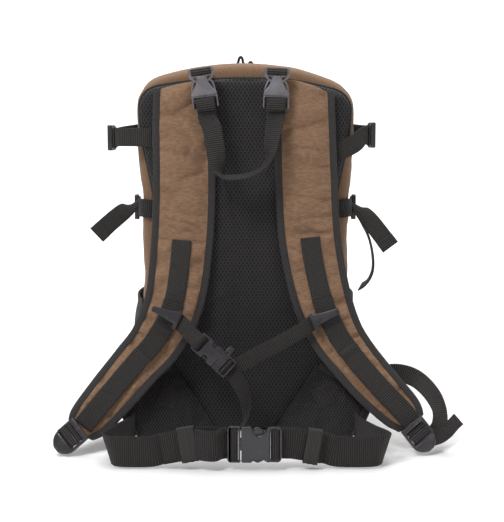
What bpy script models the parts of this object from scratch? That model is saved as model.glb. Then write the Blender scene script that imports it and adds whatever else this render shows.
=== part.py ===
"""Hunting backpack, about 22 litres, standing upright with its harness facing -Y.

Metres, +Z up. The origin is the centre of the flat bottom of the bag. +X is on the right when
the harness is looked at. Every separate piece is one object. Soft pieces are plain closed
solids of the right size, and each piece stays at least 0.3 mm from its neighbours.
"""

import math

import bmesh
import bpy
from mathutils import Matrix, Vector

MM = 0.001
GAP = 0.3 * MM

# --- bag: an arched outline in X and Z, carried along Y as a gusset ---
BAG_HALF_WIDTH = 141 * MM
BAG_BASE_HALF_WIDTH = 128 * MM
BAG_TOP = 480 * MM
ARCH_RADIUS = 380 * MM
TOP_CORNER_RADIUS = 42 * MM
BASE_CORNER_RADIUS = 24 * MM
BAG_BACK = -95 * MM
BAG_FRONT = 100 * MM
WALL = 4 * MM
SEAM_Y = 45 * MM
FLAP_BOTTOM = 110 * MM

# --- back panel ---
SHEET_THICKNESS = 1.2 * MM
PAD_FACE = -112 * MM

# --- straps and hardware ---
WEB = 1.5 * MM
WIDE_WEB = 38 * MM
STRAP_WEB = 30 * MM
HAUL_WEB = 25 * MM
CHEST_WEB = 20 * MM
LOCK_DEPTH = 4 * MM

TOWARDS_WEARER = Vector((0, -1, 0))


# ------------------------------------------------------------------ scene and materials
def clear_scene():
    for old in list(bpy.data.objects):
        bpy.data.objects.remove(old)


def material(name, colour, roughness, metallic=0.0):
    made = bpy.data.materials.new(name)
    made.use_nodes = True
    shader = made.node_tree.nodes["Principled BSDF"]
    shader.inputs["Base Color"].default_value = (*colour, 1.0)
    shader.inputs["Roughness"].default_value = roughness
    shader.inputs["Metallic"].default_value = metallic
    return made


def add_mesh(name, verts, faces, finish):
    """A closed mesh object from vertices and faces, with its faces turned outwards."""
    mesh = bpy.data.meshes.new(name)
    shape = bmesh.new()
    made = [shape.verts.new(v) for v in verts]
    for face in faces:
        shape.faces.new([made[i] for i in face])
    bmesh.ops.recalc_face_normals(shape, faces=shape.faces)
    bmesh.ops.triangulate(shape, faces=shape.faces)
    shape.to_mesh(mesh)
    shape.free()
    mesh.materials.append(finish)
    obj = bpy.data.objects.new(name, mesh)
    bpy.context.scene.collection.objects.link(obj)
    return obj


def loft(name, rings, finish):
    """A closed solid through rings that all have the same number of points."""
    count = len(rings[0])
    verts = [p for ring in rings for p in ring]
    faces = []
    for r in range(len(rings) - 1):
        for i in range(count):
            j = (i + 1) % count
            faces.append((r * count + i, r * count + j, (r + 1) * count + j, (r + 1) * count + i))
    faces.append(tuple(range(count))[::-1])
    faces.append(tuple((len(rings) - 1) * count + i for i in range(count)))
    return add_mesh(name, verts, faces, finish)


def block(name, low, high, finish):
    """A box between two corners."""
    corners = [
        [(low[0], low[1], z), (high[0], low[1], z), (high[0], high[1], z), (low[0], high[1], z)]
        for z in (low[2], high[2])
    ]
    return loft(name, corners, finish)


def boolean(target, cutter, operation):
    """Cuts or joins target with cutter, which stays hidden."""
    cutter.hide_render = True
    cutter.display_type = "WIRE"
    step = target.modifiers.new(operation.lower(), "BOOLEAN")
    step.operation = operation
    step.object = cutter


# ------------------------------------------------------------------ bands and plates
def smooth_path(points, steps):
    """Points of a Catmull-Rom curve through points, steps to each stretch."""
    ends = [points[0] * 2 - points[1], *points, points[-1] * 2 - points[-2]]
    out = []
    for a, b, c, d in zip(ends, ends[1:], ends[2:], ends[3:]):
        for k in range(steps):
            t = k / steps
            out.append(
                0.5 * (2 * b + (c - a) * t + (2 * a - 5 * b + 4 * c - d) * t * t
                       + (3 * b - a - 3 * c + d) * t ** 3)
            )
    out.append(points[-1].copy())
    return out


def as_metres(points):
    return [Vector(p) * MM for p in points]


def listed(value, count):
    return value if isinstance(value, list) else [value] * count


def band(name, points, width, finish, facing=None, across=None, thickness=WEB, steps=3):
    """A flat band along points in mm. Its flat side looks along facing, or its width lies along
    across. Each of these, width and thickness is one value, or a list with one for each point."""
    count = len(points)
    path = smooth_path(as_metres(points), steps)
    widths = listed(width, count)
    depths = listed(thickness, count)
    sizes = smooth_path([Vector((w, d, 0)) for w, d in zip(widths, depths)], steps)
    guides = listed(facing if across is None else across, count)
    guides = smooth_path([Vector(g).normalized() for g in guides], steps)
    rings = []
    for i, p in enumerate(path):
        along = (path[min(i + 1, len(path) - 1)] - path[max(i - 1, 0)]).normalized()
        if across is None:
            side = along.cross(guides[i]).normalized()
        else:
            side = (guides[i] - along * guides[i].dot(along)).normalized()
        side = side * sizes[i].x / 2
        out = side.cross(along).normalized() * sizes[i].y / 2
        rings.append([p - side - out, p + side - out, p + side + out, p - side + out])
    return loft(name, rings, finish)


def local(matrix, points):
    """World points in mm from points in mm in a piece's own frame."""
    return [tuple((matrix @ (Vector(p) * MM)) / MM) for p in points]


def placed(origin, along, facing):
    """The matrix that puts local X on along and local Z on facing, at origin in mm."""
    x = Vector(along).normalized()
    z = Vector(facing)
    z = (z - x * z.dot(x)).normalized()
    y = z.cross(x)
    turn = Matrix((x, y, z)).transposed().to_4x4()
    return Matrix.Translation(Vector(origin) * MM) @ turn


def plate(name, outline, holes, thickness, finish, matrix, lift=0.0):
    """A flat plate with holes, from outlines in local mm, centred on the height lift."""
    flat = bpy.data.curves.new(name, "CURVE")
    flat.dimensions = "2D"
    flat.fill_mode = "BOTH"
    flat.extrude = thickness / 2
    for loop in [outline, *holes]:
        spline = flat.splines.new("POLY")
        spline.points.add(len(loop) - 1)
        spline.use_cyclic_u = True
        for point, (x, y) in zip(spline.points, loop):
            point.co = (x * MM, y * MM, 0, 1)
    flat.materials.append(finish)
    obj = bpy.data.objects.new(name, flat)
    bpy.context.scene.collection.objects.link(obj)
    obj.matrix_world = matrix @ Matrix.Translation((0, 0, lift))
    return obj


def as_mesh(obj):
    """The object with its curve turned into a welded mesh, which Booleans need."""
    bpy.context.view_layer.update()
    graph = bpy.context.evaluated_depsgraph_get()
    mesh = bpy.data.meshes.new_from_object(obj.evaluated_get(graph))
    shape = bmesh.new()
    shape.from_mesh(mesh)
    bmesh.ops.remove_doubles(shape, verts=shape.verts, dist=1e-6)
    bmesh.ops.recalc_face_normals(shape, faces=shape.faces)
    shape.to_mesh(mesh)
    shape.free()
    name, matrix = obj.name, obj.matrix_world.copy()
    bpy.data.objects.remove(obj)
    made = bpy.data.objects.new(name, mesh)
    bpy.context.scene.collection.objects.link(made)
    made.matrix_world = matrix
    return made


def mirrored_outline(half):
    """An outline symmetric in local Y, from its points on the +Y side in order of X."""
    return [*half, *[(x, -y) for x, y in reversed(half)]]


def rectangle(x0, x1, half):
    return [(x0, -half), (x1, -half), (x1, half), (x0, half)]


def rounded_end(x, half, bulge, steps=6):
    """Points of a half ellipse that closes a plate beyond x, on the +Y side first."""
    return [
        (x + bulge * math.sin(a), half * math.cos(a))
        for a in (math.pi / 2 * k / steps for k in range(steps))
    ] + [(x + bulge, 0.0)]


# ------------------------------------------------------------------ bag
def arch_half(inset):
    """The right half of the bag's outline from the flat of the base to the top, moved
    inwards by inset, with every corner drawn to a smaller radius."""
    base_r = max(BASE_CORNER_RADIUS - inset, 3 * MM)
    top_r = max(TOP_CORNER_RADIUS - inset, 3 * MM)
    arch_r = ARCH_RADIUS - inset
    base_x = BAG_BASE_HALF_WIDTH - inset - base_r
    base_z = max(inset, 0.0)
    points = [(base_x, base_z)]
    for k in range(1, 5):
        a = math.radians(-90 + 90 * k / 4)
        points.append((base_x + base_r * math.cos(a), base_z + base_r * (1 + math.sin(a))))
    for x, z in SIDE_PROFILE:
        points.append((x * MM - inset, z * MM))
    corner_x = BAG_HALF_WIDTH - inset - top_r
    arch_z = BAG_TOP - ARCH_RADIUS
    corner_z = arch_z + math.sqrt((arch_r - top_r) ** 2 - corner_x ** 2)
    last = math.atan2(corner_z - arch_z, corner_x)
    for k in range(5):
        a = last * k / 4
        points.append((corner_x + top_r * math.cos(a), corner_z + top_r * math.sin(a)))
    start = math.pi / 2 - last
    for k in range(1, 4):
        a = start * (1 - k / 3)
        points.append((arch_r * math.sin(a), arch_z + arch_r * math.cos(a)))
    return points


def arch_ring(y, inset):
    """The whole outline at depth y, moved inwards by inset."""
    half = arch_half(inset)
    whole = half + [(-x, z) for x, z in reversed(half[:-1])]
    return [Vector((x, y, z)) for x, z in whole]


SIDE_PROFILE = [(131, 96), (134, 150), (134, 230), (136, 310), (141, 376)]
GUSSET = [
    (-95, 9), (-89, 3), (-74, 0), (-10, -2), (18, 0), (45, 2), (72, 9), (88, 22), (97, 42), (100, 66),
]


def bag_solid(name, wall, finish):
    """The bag's outer form, or its inside when wall is the wall's thickness."""
    rings = []
    for y, inset in GUSSET:
        depth = max(min(y * MM, BAG_FRONT - wall), BAG_BACK + wall)
        rings.append(arch_ring(depth, inset * MM + wall))
    return loft(name, rings, finish)


def make_bag(fabric):
    inside = bag_solid("cut_inside", WALL, fabric)
    bag = bag_solid("main_bag", 0.0, fabric)
    front = block(
        "cut_front", (-0.3, SEAM_Y + GAP, FLAP_BOTTOM - GAP), (0.3, 0.3, 0.6), fabric
    )
    boolean(bag, inside, "DIFFERENCE")
    boolean(bag, front, "DIFFERENCE")
    flap = bag_solid("front_flap", 0.0, fabric)
    keep = block(
        "keep_flap", (-0.3, SEAM_Y + 3 * GAP, FLAP_BOTTOM + GAP), (0.3, 0.3, 0.6), fabric
    )
    boolean(flap, inside, "DIFFERENCE")
    boolean(flap, keep, "INTERSECT")


def make_back_panel(plastic, mesh, lining):
    """The stiff sheet and the padding behind the harness, and the sleeve inside the bag."""
    sheet_face = BAG_BACK - GAP - SHEET_THICKNESS
    loft(
        "frame_sheet",
        [arch_ring(y, 20 * MM) for y in (sheet_face, BAG_BACK - GAP)],
        plastic,
    )
    rings = [(sheet_face - GAP, 12), (sheet_face - 9 * MM, 12), (PAD_FACE, 16)]
    loft("back_pad", [arch_ring(y, inset * MM) for y, inset in rings], mesh)
    block("inner_sleeve", (-0.100, -0.0735, 0.0045), (0.100, -0.072, 0.330), lining)


def side_pocket(side, mesh):
    """A stretch pocket: an upright wall round the bag's lower side, with a floor."""
    outer = [(137, -76), (145, -66), (153, -40), (157, -5), (153, 24), (144, 42), (137, 50)]
    inner = [(139, 43), (142, 39), (150, 22), (154.5, -5), (150.5, -38), (143, -62), (139, -68)]
    low, high, floor = 26 * MM, 168 * MM, 3 * MM
    name = "side_pocket_left" if side < 0 else "side_pocket_right"

    def ring(points, z):
        return [Vector((side * x * MM, y * MM, z)) for x, y in points]

    body = loft(name, [ring(outer + inner, low), ring(outer + inner, high)], mesh)
    base = loft(
        name + "_floor",
        [ring(outer, z) for z in (low - floor, low + GAP)],
        mesh,
    )
    boolean(body, base, "UNION")


# ------------------------------------------------------------------ zips
def arc_strip(name, radius0, radius1, y0, y1, reach, finish):
    """A strip on the bag's top arch, between two radii and two depths."""
    steps = 14
    centre = BAG_TOP - ARCH_RADIUS
    rings = []
    for k in range(steps + 1):
        a = math.radians(-reach + 2 * reach * k / steps)
        rings.append([
            Vector((r * math.sin(a), y, centre + r * math.cos(a)))
            for r, y in ((radius0, y0), (radius1, y0), (radius1, y1), (radius0, y1))
        ])
    return loft(name, rings, finish)


def make_zips(black, metal):
    """The coil on the flap's side of the top zip, its two sliders, and the pocket's zip."""
    face = ARCH_RADIUS - 2 * MM
    arc_strip("main_zip_coil", face + GAP, face + 2.2 * MM, 46.5 * MM, 50 * MM, 15.5, black)
    for side in (-1, 1):
        tag = "left" if side < 0 else "right"
        seat = placed((side * 7, 48.3, 483.0 - 0.1), (side, 0, 0), (0, 0, 1))
        half = [(-5, 2.4), (-2, 3.6), (4, 3.6), (6, 2.2)]
        plate(f"main_zip_slider_{tag}", mirrored_outline(half), [], 2.4 * MM, metal, seat)
        band(
            f"main_zip_pull_{tag}",
            [(side * 7, 51, 487), (side * 7, 56, 490.5), (side * 7, 64, 487), (side * 7.5, 74, 479),
             (side * 7.5, 86, 466), (side * 7.5, 96, 450), (side * 8, 102.5, 434)],
            [w * MM for w in (3.0, 4, 4, 5, 6.5, 6.5, 5)],
            black, across=(1, 0, 0), thickness=2.2 * MM, steps=2,
        )
    block("pocket_zip_coil", (-0.085, 0.1125, 0.3275), (0.085, 0.1139, 0.3335), black)
    seat = placed((-72, 115.5, 330.5), (1, 0, 0), (0, 1, 0))
    half = [(-5, 2.4), (-2, 3.8), (4, 3.8), (6, 2.2)]
    plate("pocket_zip_slider", mirrored_outline(half), [], 2.4 * MM, metal, seat)
    band(
        "pocket_zip_pull", [(-72, 118.4, 331), (-72, 119.4, 318), (-72, 119.4, 300), (-72, 119.0, 286)],
        [w * MM for w in (3.0, 5, 7, 5)], black, across=(1, 0, 0), thickness=2.2 * MM, steps=2,
    )


def make_front_pocket(fabric):
    """The pocket on the flap: a shallow bag with rounded edges."""
    rings = []
    for y, inset in ((100.3, 0), (108, 1), (112, 6)):
        half_x, low, high = 92 - inset, 150 + inset, 345 - inset
        rings.append([
            Vector((x * MM, y * MM, z * MM))
            for x, z in (
                (-half_x + 14, low), (half_x - 14, low), (half_x, low + 14), (half_x, high - 20),
                (half_x - 20, high), (-half_x + 20, high), (-half_x, high - 20), (-half_x, low + 14),
            )
        ])
    loft("front_pocket", rings, fabric)


# ------------------------------------------------------------------ shoulder straps
LEFT_STRAP = [
    (-78, -120.5, 451), (-78, -120.5, 400), (-77, -120.5, 331), (-80, -121, 255), (-90, -127, 178),
    (-111, -141, 130), (-137, -158, 100), (-167, -178, 66), (-193, -194, 37), (-203, -200, 25),
]
RIGHT_STRAP = [
    (76, -120.5, 451), (76, -120.5, 400), (78, -120.5, 331), (83, -121, 255), (97, -128, 184),
    (114, -141, 140), (134, -154, 111), (163, -171, 78), (194, -188, 48), (206, -197, 34),
]
STRAP_WIDTHS = [74, 78, 80, 80, 77, 71, 66, 62, 54, 38]
STRAP_DEPTHS = [10, 14, 14, 14, 14, 14, 14, 13, 10, 6]
STRAP_FACING = [(0, -1, 0)] * 4 + [(0, -1, 0.1), (0, -1, 0.35)] + [(0, -1, 0.5)] * 4


def beside(path, first, last, clearance):
    """A run of a strap's path, moved out to lie clearance above the strap's face."""
    lifted = []
    for i in range(first, last + 1):
        out = STRAP_DEPTHS[i] / 2 + WEB / MM / 2 + clearance
        lifted.append(tuple(Vector(path[i]) + Vector(STRAP_FACING[i]).normalized() * out))
    return lifted


def make_shoulder_straps(pad, black):
    for tag, path in (("left", LEFT_STRAP), ("right", RIGHT_STRAP)):
        widths = [w * MM for w in STRAP_WIDTHS]
        depths = [d * MM for d in STRAP_DEPTHS]
        band(f"shoulder_strap_{tag}", path, widths, pad, facing=STRAP_FACING, thickness=depths)
        band(
            f"strap_webbing_{tag}", beside(path, 3, 8, 1.0), STRAP_WEB * 0.9, black,
            facing=STRAP_FACING[3:9],
        )


# ------------------------------------------------------------------ buckles
def male_outline(web):
    """Frame, two prongs and a middle tongue, from the webbing's side at x = 0."""
    half = web / 2 + 3
    return mirrored_outline([
        (0, half - 2), (1.5, half), (12, half), (15, half - 2), (22, half - 3.5), (29, half - 0.5),
        (35, half - 3), (35, half - 5.5), (22, half - 6.5), (16.5, half - 6.5), (16.5, 2.5), (30, 2.5),
    ])


def make_buckle(name, web, matrix, finish, body_half):
    """A side-release buckle's two halves, which share one matrix and slide apart along local X.
    body_half is the socket's outline on its +Y side, and web is the webbing's width in mm."""
    slot = web / 2 + 0.6
    plate(f"{name}_plug", male_outline(web), [rectangle(3, 9.5, slot)], 4.2 * MM, finish, matrix)
    socket = plate(f"{name}_socket", mirrored_outline(body_half), [], 8.4 * MM, finish, matrix)
    frame_outline = rectangle(38, 56, web / 2 + 3)
    frame = plate(f"join_{name}", frame_outline, [rectangle(43, 51, slot)], 4.2 * MM, finish, matrix)
    socket = as_mesh(socket)
    boolean(socket, as_mesh(frame), "UNION")
    low, high = (14 * MM, -web * MM, -2.5 * MM), (36.5 * MM, web * MM, 2.5 * MM)
    channel = block(f"cut_{name}", low, high, finish)
    channel.matrix_world = matrix
    boolean(socket, channel, "DIFFERENCE")


def wrap_points(bar, reach, front_end):
    """A fold of webbing round a bar at local x = bar, through a slot centred at bar - reach. It
    starts at front_end on the front side and leaves along the rear side."""
    turn = bar - reach * 0.8
    return [(front_end, 0, 2.8), (bar + 4, 0, 3.7), (bar - 0.5, 0, 3.7), (turn, 0, 2.6),
            (bar - reach, 0, 0), (turn, 0, -2.6), (bar - 0.5, 0, -3.7), (bar + 4, 0, -3.6),
            (front_end + 2, 0, -1.0)]


# ------------------------------------------------------------------ haul strap
HAUL_Y = -136.0
HAUL_Z = 469.0
HAUL_SIDES = (("left", -55.0, Vector((0.15, -0.05, -1))), ("right", 40.5, Vector((-0.04, -0.05, -1))))


def make_haul_strap(black, plastic):
    """Two loops on the top seam, two buckles, and the webbing that joins them in a U."""
    half = HAUL_WEB / MM / 2 + 3
    body = [(15, 5.0), (24, 7.5), (30, half - 2), (35, half), (41, half), (41, 3)]
    ends = {}
    for tag, x, down in HAUL_SIDES:
        along = down.normalized()
        seat = placed(Vector((x, HAUL_Y, HAUL_Z)) - along * 1.5, down, TOWARDS_WEARER)
        make_buckle(f"haul_buckle_{tag}", HAUL_WEB / MM, seat, plastic, body)
        across = seat.to_3x3() @ Vector((0, 1, 0))
        loop = [(-12, 0, -38), (-10.5, 0, -24), (-7.5, 0, -11), (-4.8, 0, -1), (-2, 0, 4.8), (3, 0, 5.5),
                (6.9, 0, 1), (5.9, 0, -4.6), (1, 0, -9), (-3.5, 0, -14.5)]
        band(
            f"haul_loop_{tag}", local(seat, loop), HAUL_WEB * 0.92, black, across=across, steps=2
        )
        ends[tag] = (local(seat, wrap_points(53.5, 6.8, 63)), across)
    left, left_across = ends["left"]
    right, right_across = ends["right"]
    middle = [(-41, -144, 388), (-33, -146, 362), (-27, -147, 347), (-18, -148, 340), (-4, -148, 339),
              (10, -148, 344), (21, -148, 357), (29, -147, 378)]
    band(
        "haul_webbing", left + middle + right[::-1], HAUL_WEB * 0.92, black, steps=2,
        across=[left_across] * 10 + [(1, 0.1, 0), (0.8, 0.6, 0)] + [(0, 1, 0)] * 3
        + [(-0.3, 1, 0), (-0.8, 0.7, 0), (-1, 0.3, 0)] + [-right_across] * 8,
    )


# ------------------------------------------------------------------ sternum strap
CHEST_ALONG = Vector((0.735, -0.084, -0.672))
CHEST_START = Vector((-18, -180, 98))
CHEST_FACING = (0, -1, 0.25)


def make_sternum_strap(black, plastic):
    """A T-shaped clip on each shoulder strap, two pieces of webbing and a buckle between them."""
    web = CHEST_WEB / MM
    half = web / 2 + 3
    body = [(15, half), (22, half), (25, half - 5), (29, half - 7), (33, half - 5), (36, half),
            (41, half), (41, 3)]
    seat = placed(CHEST_START, -CHEST_ALONG, CHEST_FACING)
    make_buckle("sternum_buckle", web, seat, plastic, body)
    clip = [(-3, -13), (3, -13), (3, -4), (26, -2.6), (29, 0), (26, 2.6), (3, 4), (3, 13), (-3, 13)]
    clips = (("left", (-91, -152, 157), (-1, 0, 0.28)), ("right", (91, -150, 150), (1, 0, 0.32)))
    for tag, place, along in clips:
        rest = placed(place, along, (0, -1, 0.3))
        plate(f"sternum_clip_{tag}", clip, [], 3.5 * MM, plastic, rest)
    across = seat.to_3x3() @ Vector((0, 1, 0))
    ends = local(seat, [(65, 0, -4.0), (58, 0, -4.2), (52, 0, -4.0), (47.5, 0, -2.6), (46.5, 0, 1.5)])
    band(
        "sternum_webbing_left", [(-87, -158, 154), (-79, -163, 150)] + ends, CHEST_WEB * 0.92, black,
        across=across, steps=2,
    )
    band(
        "sternum_webbing_right",
        [(87, -156, 150), (62, -163, 139), (38, -169, 128), (18, -172, 119), (4, -173, 113)],
        CHEST_WEB * 0.92, black, facing=CHEST_FACING,
    )
    band(
        "sternum_tail",
        [(-13, -176, 89), (-5, -176, 76), (0, -173, 58), (0, -168, 40), (-3, -162, 24)],
        CHEST_WEB * 0.92, black, facing=(0.5, -1, 0),
    )


# ------------------------------------------------------------------ hip belt
BELT_Y = -272.0
BELT_Z = 31.5
BELT_WEB_Y = -265.5
KEEPER_SLOPE = 0.17


def hip_fin(tag, side, mesh):
    """A padded wing from the lower back panel to the belt webbing."""
    stations = [
        ((46, -122, 8), (104, -122, 84), 12), ((80, -134, 5), (122, -130, 72), 13),
        ((108, -149, 4), (135, -141, 56), 13), ((130, -163, 4), (144, -153, 40), 9),
    ]
    rings = []
    for low, high, thick in stations:
        a, b = Vector(low) * MM, Vector(high) * MM
        across = (b - a).normalized() * 2 * MM
        out = Vector((-0.35, -1, 0)).normalized() * thick * MM / 2
        ring = [a - out, a - out * 0.5 - across, a + out, b + out, b - out * 0.2 + across, b - out]
        rings.append([Vector((side * p.x, p.y, p.z)) for p in ring])
    loft(f"hip_fin_{tag}", rings, mesh)


def belt_side(tag, side, start_x, bend_x, inner_x, black):
    """Belt webbing from a fin, round the wearer's side and along the front to the buckle."""
    y, low = BELT_WEB_Y, 20.8
    path = [
        (start_x, -168, low), (start_x + 9, -192, low), (start_x + 19, -222, low),
        (bend_x, -246, low), (bend_x - 4, -259, low), (bend_x - 18, y - 0.5, low),
    ]
    flat_from = 56
    for x in (112, 98, 84, 70):
        path.append((x, y, BELT_Z - (x - flat_from) * KEEPER_SLOPE))
    path += [(flat_from, y, BELT_Z), (inner_x, y, BELT_Z)]
    facing = [(1, -0.3, 0), (1, -0.3, 0), (1, -0.3, 0), (1, -0.1, 0), (0.7, -0.7, 0), (0.1, -1, 0)]
    facing += [(0, -1, 0)] * (len(path) - len(facing))
    band(
        f"belt_webbing_{tag}", [(side * x, y, z) for x, y, z in path], WIDE_WEB * 0.97, black,
        facing=[(side * x, y, z) for x, y, z in facing],
    )


def belt_keeper(tag, x, length, black):
    """An elastic loop round the belt webbing, which slides along it."""
    z = BELT_Z - (abs(x) - 56) * KEEPER_SLOPE
    side = math.copysign(1, x)
    seat = placed((x, BELT_WEB_Y, z), (0, 1, 0), (side, 0, -KEEPER_SLOPE))
    half = WIDE_WEB * 0.97 / MM / 2
    outer = rectangle(-3.4, 3.4, half + 2.6)
    hole = rectangle(-1.9, 1.9, half + 1.1)
    plate(f"belt_keeper_{tag}", outer, [hole], length * MM, black, seat)


def make_hip_belt(black, plastic, mesh):
    hip_fin("left", -1, mesh)
    hip_fin("right", 1, mesh)
    web = WIDE_WEB / MM
    half = web / 2 + 3
    body = [(15, half), (22, half), (25, half - 3), (29, half - 9), (33, half - 9.5), (38, half - 5),
            (41, half - 2), (41, 3)]
    seat = placed((-20, BELT_Y, BELT_Z), (1, 0, 0), TOWARDS_WEARER)
    make_buckle("belt_buckle", web, seat, plastic, body)
    belt_side("left", -1, 139, 163, 14, black)
    belt_side("right", 1, 139, 168, 27, black)
    belt_keeper("left", -66.0, 20, black)
    belt_keeper("right", 80.0, 17, black)


# ------------------------------------------------------------------ ladder locks
def ladder_lock(name, origin, along, facing, finish):
    """A lock with two windows and a rounded grip. It tilts on the bar at its local x = 0."""
    web = HAUL_WEB / MM
    half = web / 2 + 4
    side = [(-2, half - 1), (-1, half), (24, half), *rounded_end(24, half, 13)[1:-1], (37, 2)]
    windows = [rectangle(x, x + 7.5, web / 2 + 0.6) for x in (2.5, 13.5)]
    plate(name, mirrored_outline(side), windows, LOCK_DEPTH, finish, placed(origin, along, facing))


def make_strap_locks(plastic):
    ladder_lock("strap_lock_left", (-202, -210, 31.5), (-0.76, -0.1, -0.66), (-0.1, -1, 0.5), plastic)
    ladder_lock("strap_lock_right", (204.5, -209, 36), (0.62, -0.1, -0.78), (0.1, -1, 0.4), plastic)


def make_adjusters(black):
    """The webbing from each lock back to the bag's lower side, and one free tail."""
    width = HAUL_WEB * 0.92
    flat = (0, -1, 0.2)
    band(
        "adjuster_webbing_right",
        [(150, -92, 56), (172, -101, 71), (196, -114, 80), (219, -133, 77), (236, -155, 63),
         (244, -172, 45), (242, -186, 29), (235, -195, 20)],
        width, black,
        facing=[flat, flat, flat, (0.2, -1, 0.2), (0.3, -1, 0.2), (0.5, -1, 0.2), (0.5, -1, 0.4),
                (0.3, -1, 0.6)],
    )
    band(
        "adjuster_tail_right", [(243, -204, 22), (250, -206, 30), (256, -206, 38), (262, -204, 44)],
        width, black, facing=(-0.3, -0.6, -0.7),
    )
    band(
        "adjuster_webbing_left",
        [(-150, -92, 52), (-160, -112, 57), (-172, -134, 54), (-184, -156, 45), (-195, -176, 32),
         (-203, -188, 20)],
        width, black, facing=(0.3, -1, 0.2),
    )


# ------------------------------------------------------------------ compression straps
COMPRESSION_REACH = {"left": 168, "right": 159}


def make_compression_straps(black, plastic):
    """Four side straps, the locks on them, and a length of slack webbing."""
    width = HAUL_WEB * 0.92
    turning = [(0, -1, 0), (0.1, -1, 0), (0.3, -1, 0), (0.7, -0.8, 0), (1, -0.1, 0), (1, 0.2, 0),
               (1, 0.3, 0)]
    heights = {
        "left": [384, 384.5, 385, 385, 384.5, 387, 391],
        "right": [362, 369, 377, 386, 388, 389, 391],
    }
    for tag, side in (("left", -1), ("right", 1)):
        reach = COMPRESSION_REACH[tag]
        xs = [125.5, 132, 142, reach - 8, reach, reach - 5, 147.5]
        ys = [-113.8, -113.6, -109, -101, -84, -40, 20]
        path = [(side * x, y, z) for x, y, z in zip(xs, ys, heights[tag])]
        band(
            f"compression_upper_{tag}", path, width, black,
            facing=[(side * x, y, z) for x, y, z in turning],
        )
        ladder_lock(
            f"compression_lock_upper_{tag}", (side * (reach + 5.5), -88, heights[tag][4] - 0.5),
            (side * -0.06, 1, 0), (side, 0, 0), plastic,
        )
        ladder_lock(
            f"compression_lock_lower_{tag}", (side * 143.5, -54, 292), (side * 0.1, 1, 0),
            (side, 0, 0), plastic,
        )
    leaving = [(1, -0.6, 0.1), (0.8, -0.9, 0.1), (0.4, -1, 0), (0, -1, 0), (0, -1, 0)]
    band(
        "compression_lower_left",
        [(-148, -60, 291), (-153, -75, 284), (-165, -89, 274), (-178, -98, 264), (-190, -104, 255)],
        width, black, facing=[(-x, y, z) for x, y, z in leaving],
    )
    band(
        "compression_lower_right",
        [(148, -60, 290), (153, -74, 279), (165, -84, 266), (178, -92, 253), (188, -97, 242)],
        width, black, facing=leaving,
    )
    band(
        "compression_slack_right",
        [(152, 6, 284), (160, 0, 268), (170, -6, 248), (176, -8, 222), (176, -8, 200), (169, -4, 184),
         (160, 2, 176)],
        width, black,
        facing=[(1, 0, 0.5), (1, 0, 0.4), (1, 0, 0.2), (1, 0, 0), (1, 0, -0.3), (1, 0, -0.8),
                (1, 0, -1)],
    )


def main():
    clear_scene()
    fabric = material("brown_fabric", (0.22, 0.13, 0.08), 0.9)
    lining = material("grey_lining", (0.12, 0.11, 0.10), 0.85)
    black = material("black_webbing", (0.03, 0.028, 0.027), 0.85)
    mesh = material("black_mesh", (0.035, 0.033, 0.034), 0.9)
    plastic = material("black_plastic", (0.05, 0.048, 0.052), 0.4)
    metal = material("zip_metal", (0.08, 0.08, 0.08), 0.35, metallic=0.8)
    make_bag(fabric)
    make_back_panel(plastic, mesh, lining)
    side_pocket(-1, mesh)
    side_pocket(1, mesh)
    make_front_pocket(fabric)
    make_zips(black, metal)
    make_shoulder_straps(fabric, black)
    make_haul_strap(black, plastic)
    make_sternum_strap(black, plastic)
    make_hip_belt(black, plastic, mesh)
    make_strap_locks(plastic)
    make_adjusters(black)
    make_compression_straps(black, plastic)


main()
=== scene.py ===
"""The looks of a hunting backpack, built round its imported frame.

Metres, +Z up, -Y towards the wearer, +X to the right when the harness is looked at. Routes and
outlines are lists in millimetres, as a maker would write them.
"""

import math

import bmesh
import bpy
from mathutils import Matrix, Vector, noise


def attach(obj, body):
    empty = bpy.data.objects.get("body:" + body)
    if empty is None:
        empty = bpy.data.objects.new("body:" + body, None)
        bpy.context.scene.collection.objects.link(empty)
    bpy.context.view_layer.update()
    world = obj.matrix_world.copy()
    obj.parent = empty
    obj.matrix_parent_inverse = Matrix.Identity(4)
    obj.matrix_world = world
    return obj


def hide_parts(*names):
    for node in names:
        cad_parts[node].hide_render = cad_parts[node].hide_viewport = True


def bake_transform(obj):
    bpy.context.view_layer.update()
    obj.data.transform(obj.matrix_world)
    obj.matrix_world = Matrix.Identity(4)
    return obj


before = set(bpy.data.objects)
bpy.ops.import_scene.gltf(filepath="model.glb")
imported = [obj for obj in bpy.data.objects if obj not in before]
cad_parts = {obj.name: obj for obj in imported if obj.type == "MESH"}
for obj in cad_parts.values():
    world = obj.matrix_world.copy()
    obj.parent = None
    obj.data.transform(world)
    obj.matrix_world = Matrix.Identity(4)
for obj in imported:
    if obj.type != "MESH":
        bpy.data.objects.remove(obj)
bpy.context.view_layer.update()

MM = 0.001
TOWARDS_WEARER = Vector((0, -1, 0))
HAUL_WEB = 23.5
CHEST_WEB = 19.5
BELT_WEB = 37.0


# ============================================================ paths and frames
def smooth(points, steps=10):
    """Points of a Catmull-Rom curve through points, steps to each stretch."""
    ends = [points[0] * 2 - points[1], *points, points[-1] * 2 - points[-2]]
    out = []
    for a, b, c, d in zip(ends, ends[1:], ends[2:], ends[3:]):
        for k in range(steps):
            t = k / steps
            out.append(
                0.5 * (2 * b + (c - a) * t + (2 * a - 5 * b + 4 * c - d) * t * t
                       + (3 * b - a - 3 * c + d) * t ** 3)
            )
    out.append(points[-1].copy())
    return out


def listed(value, count):
    return value if isinstance(value, list) else [value] * count


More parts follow.
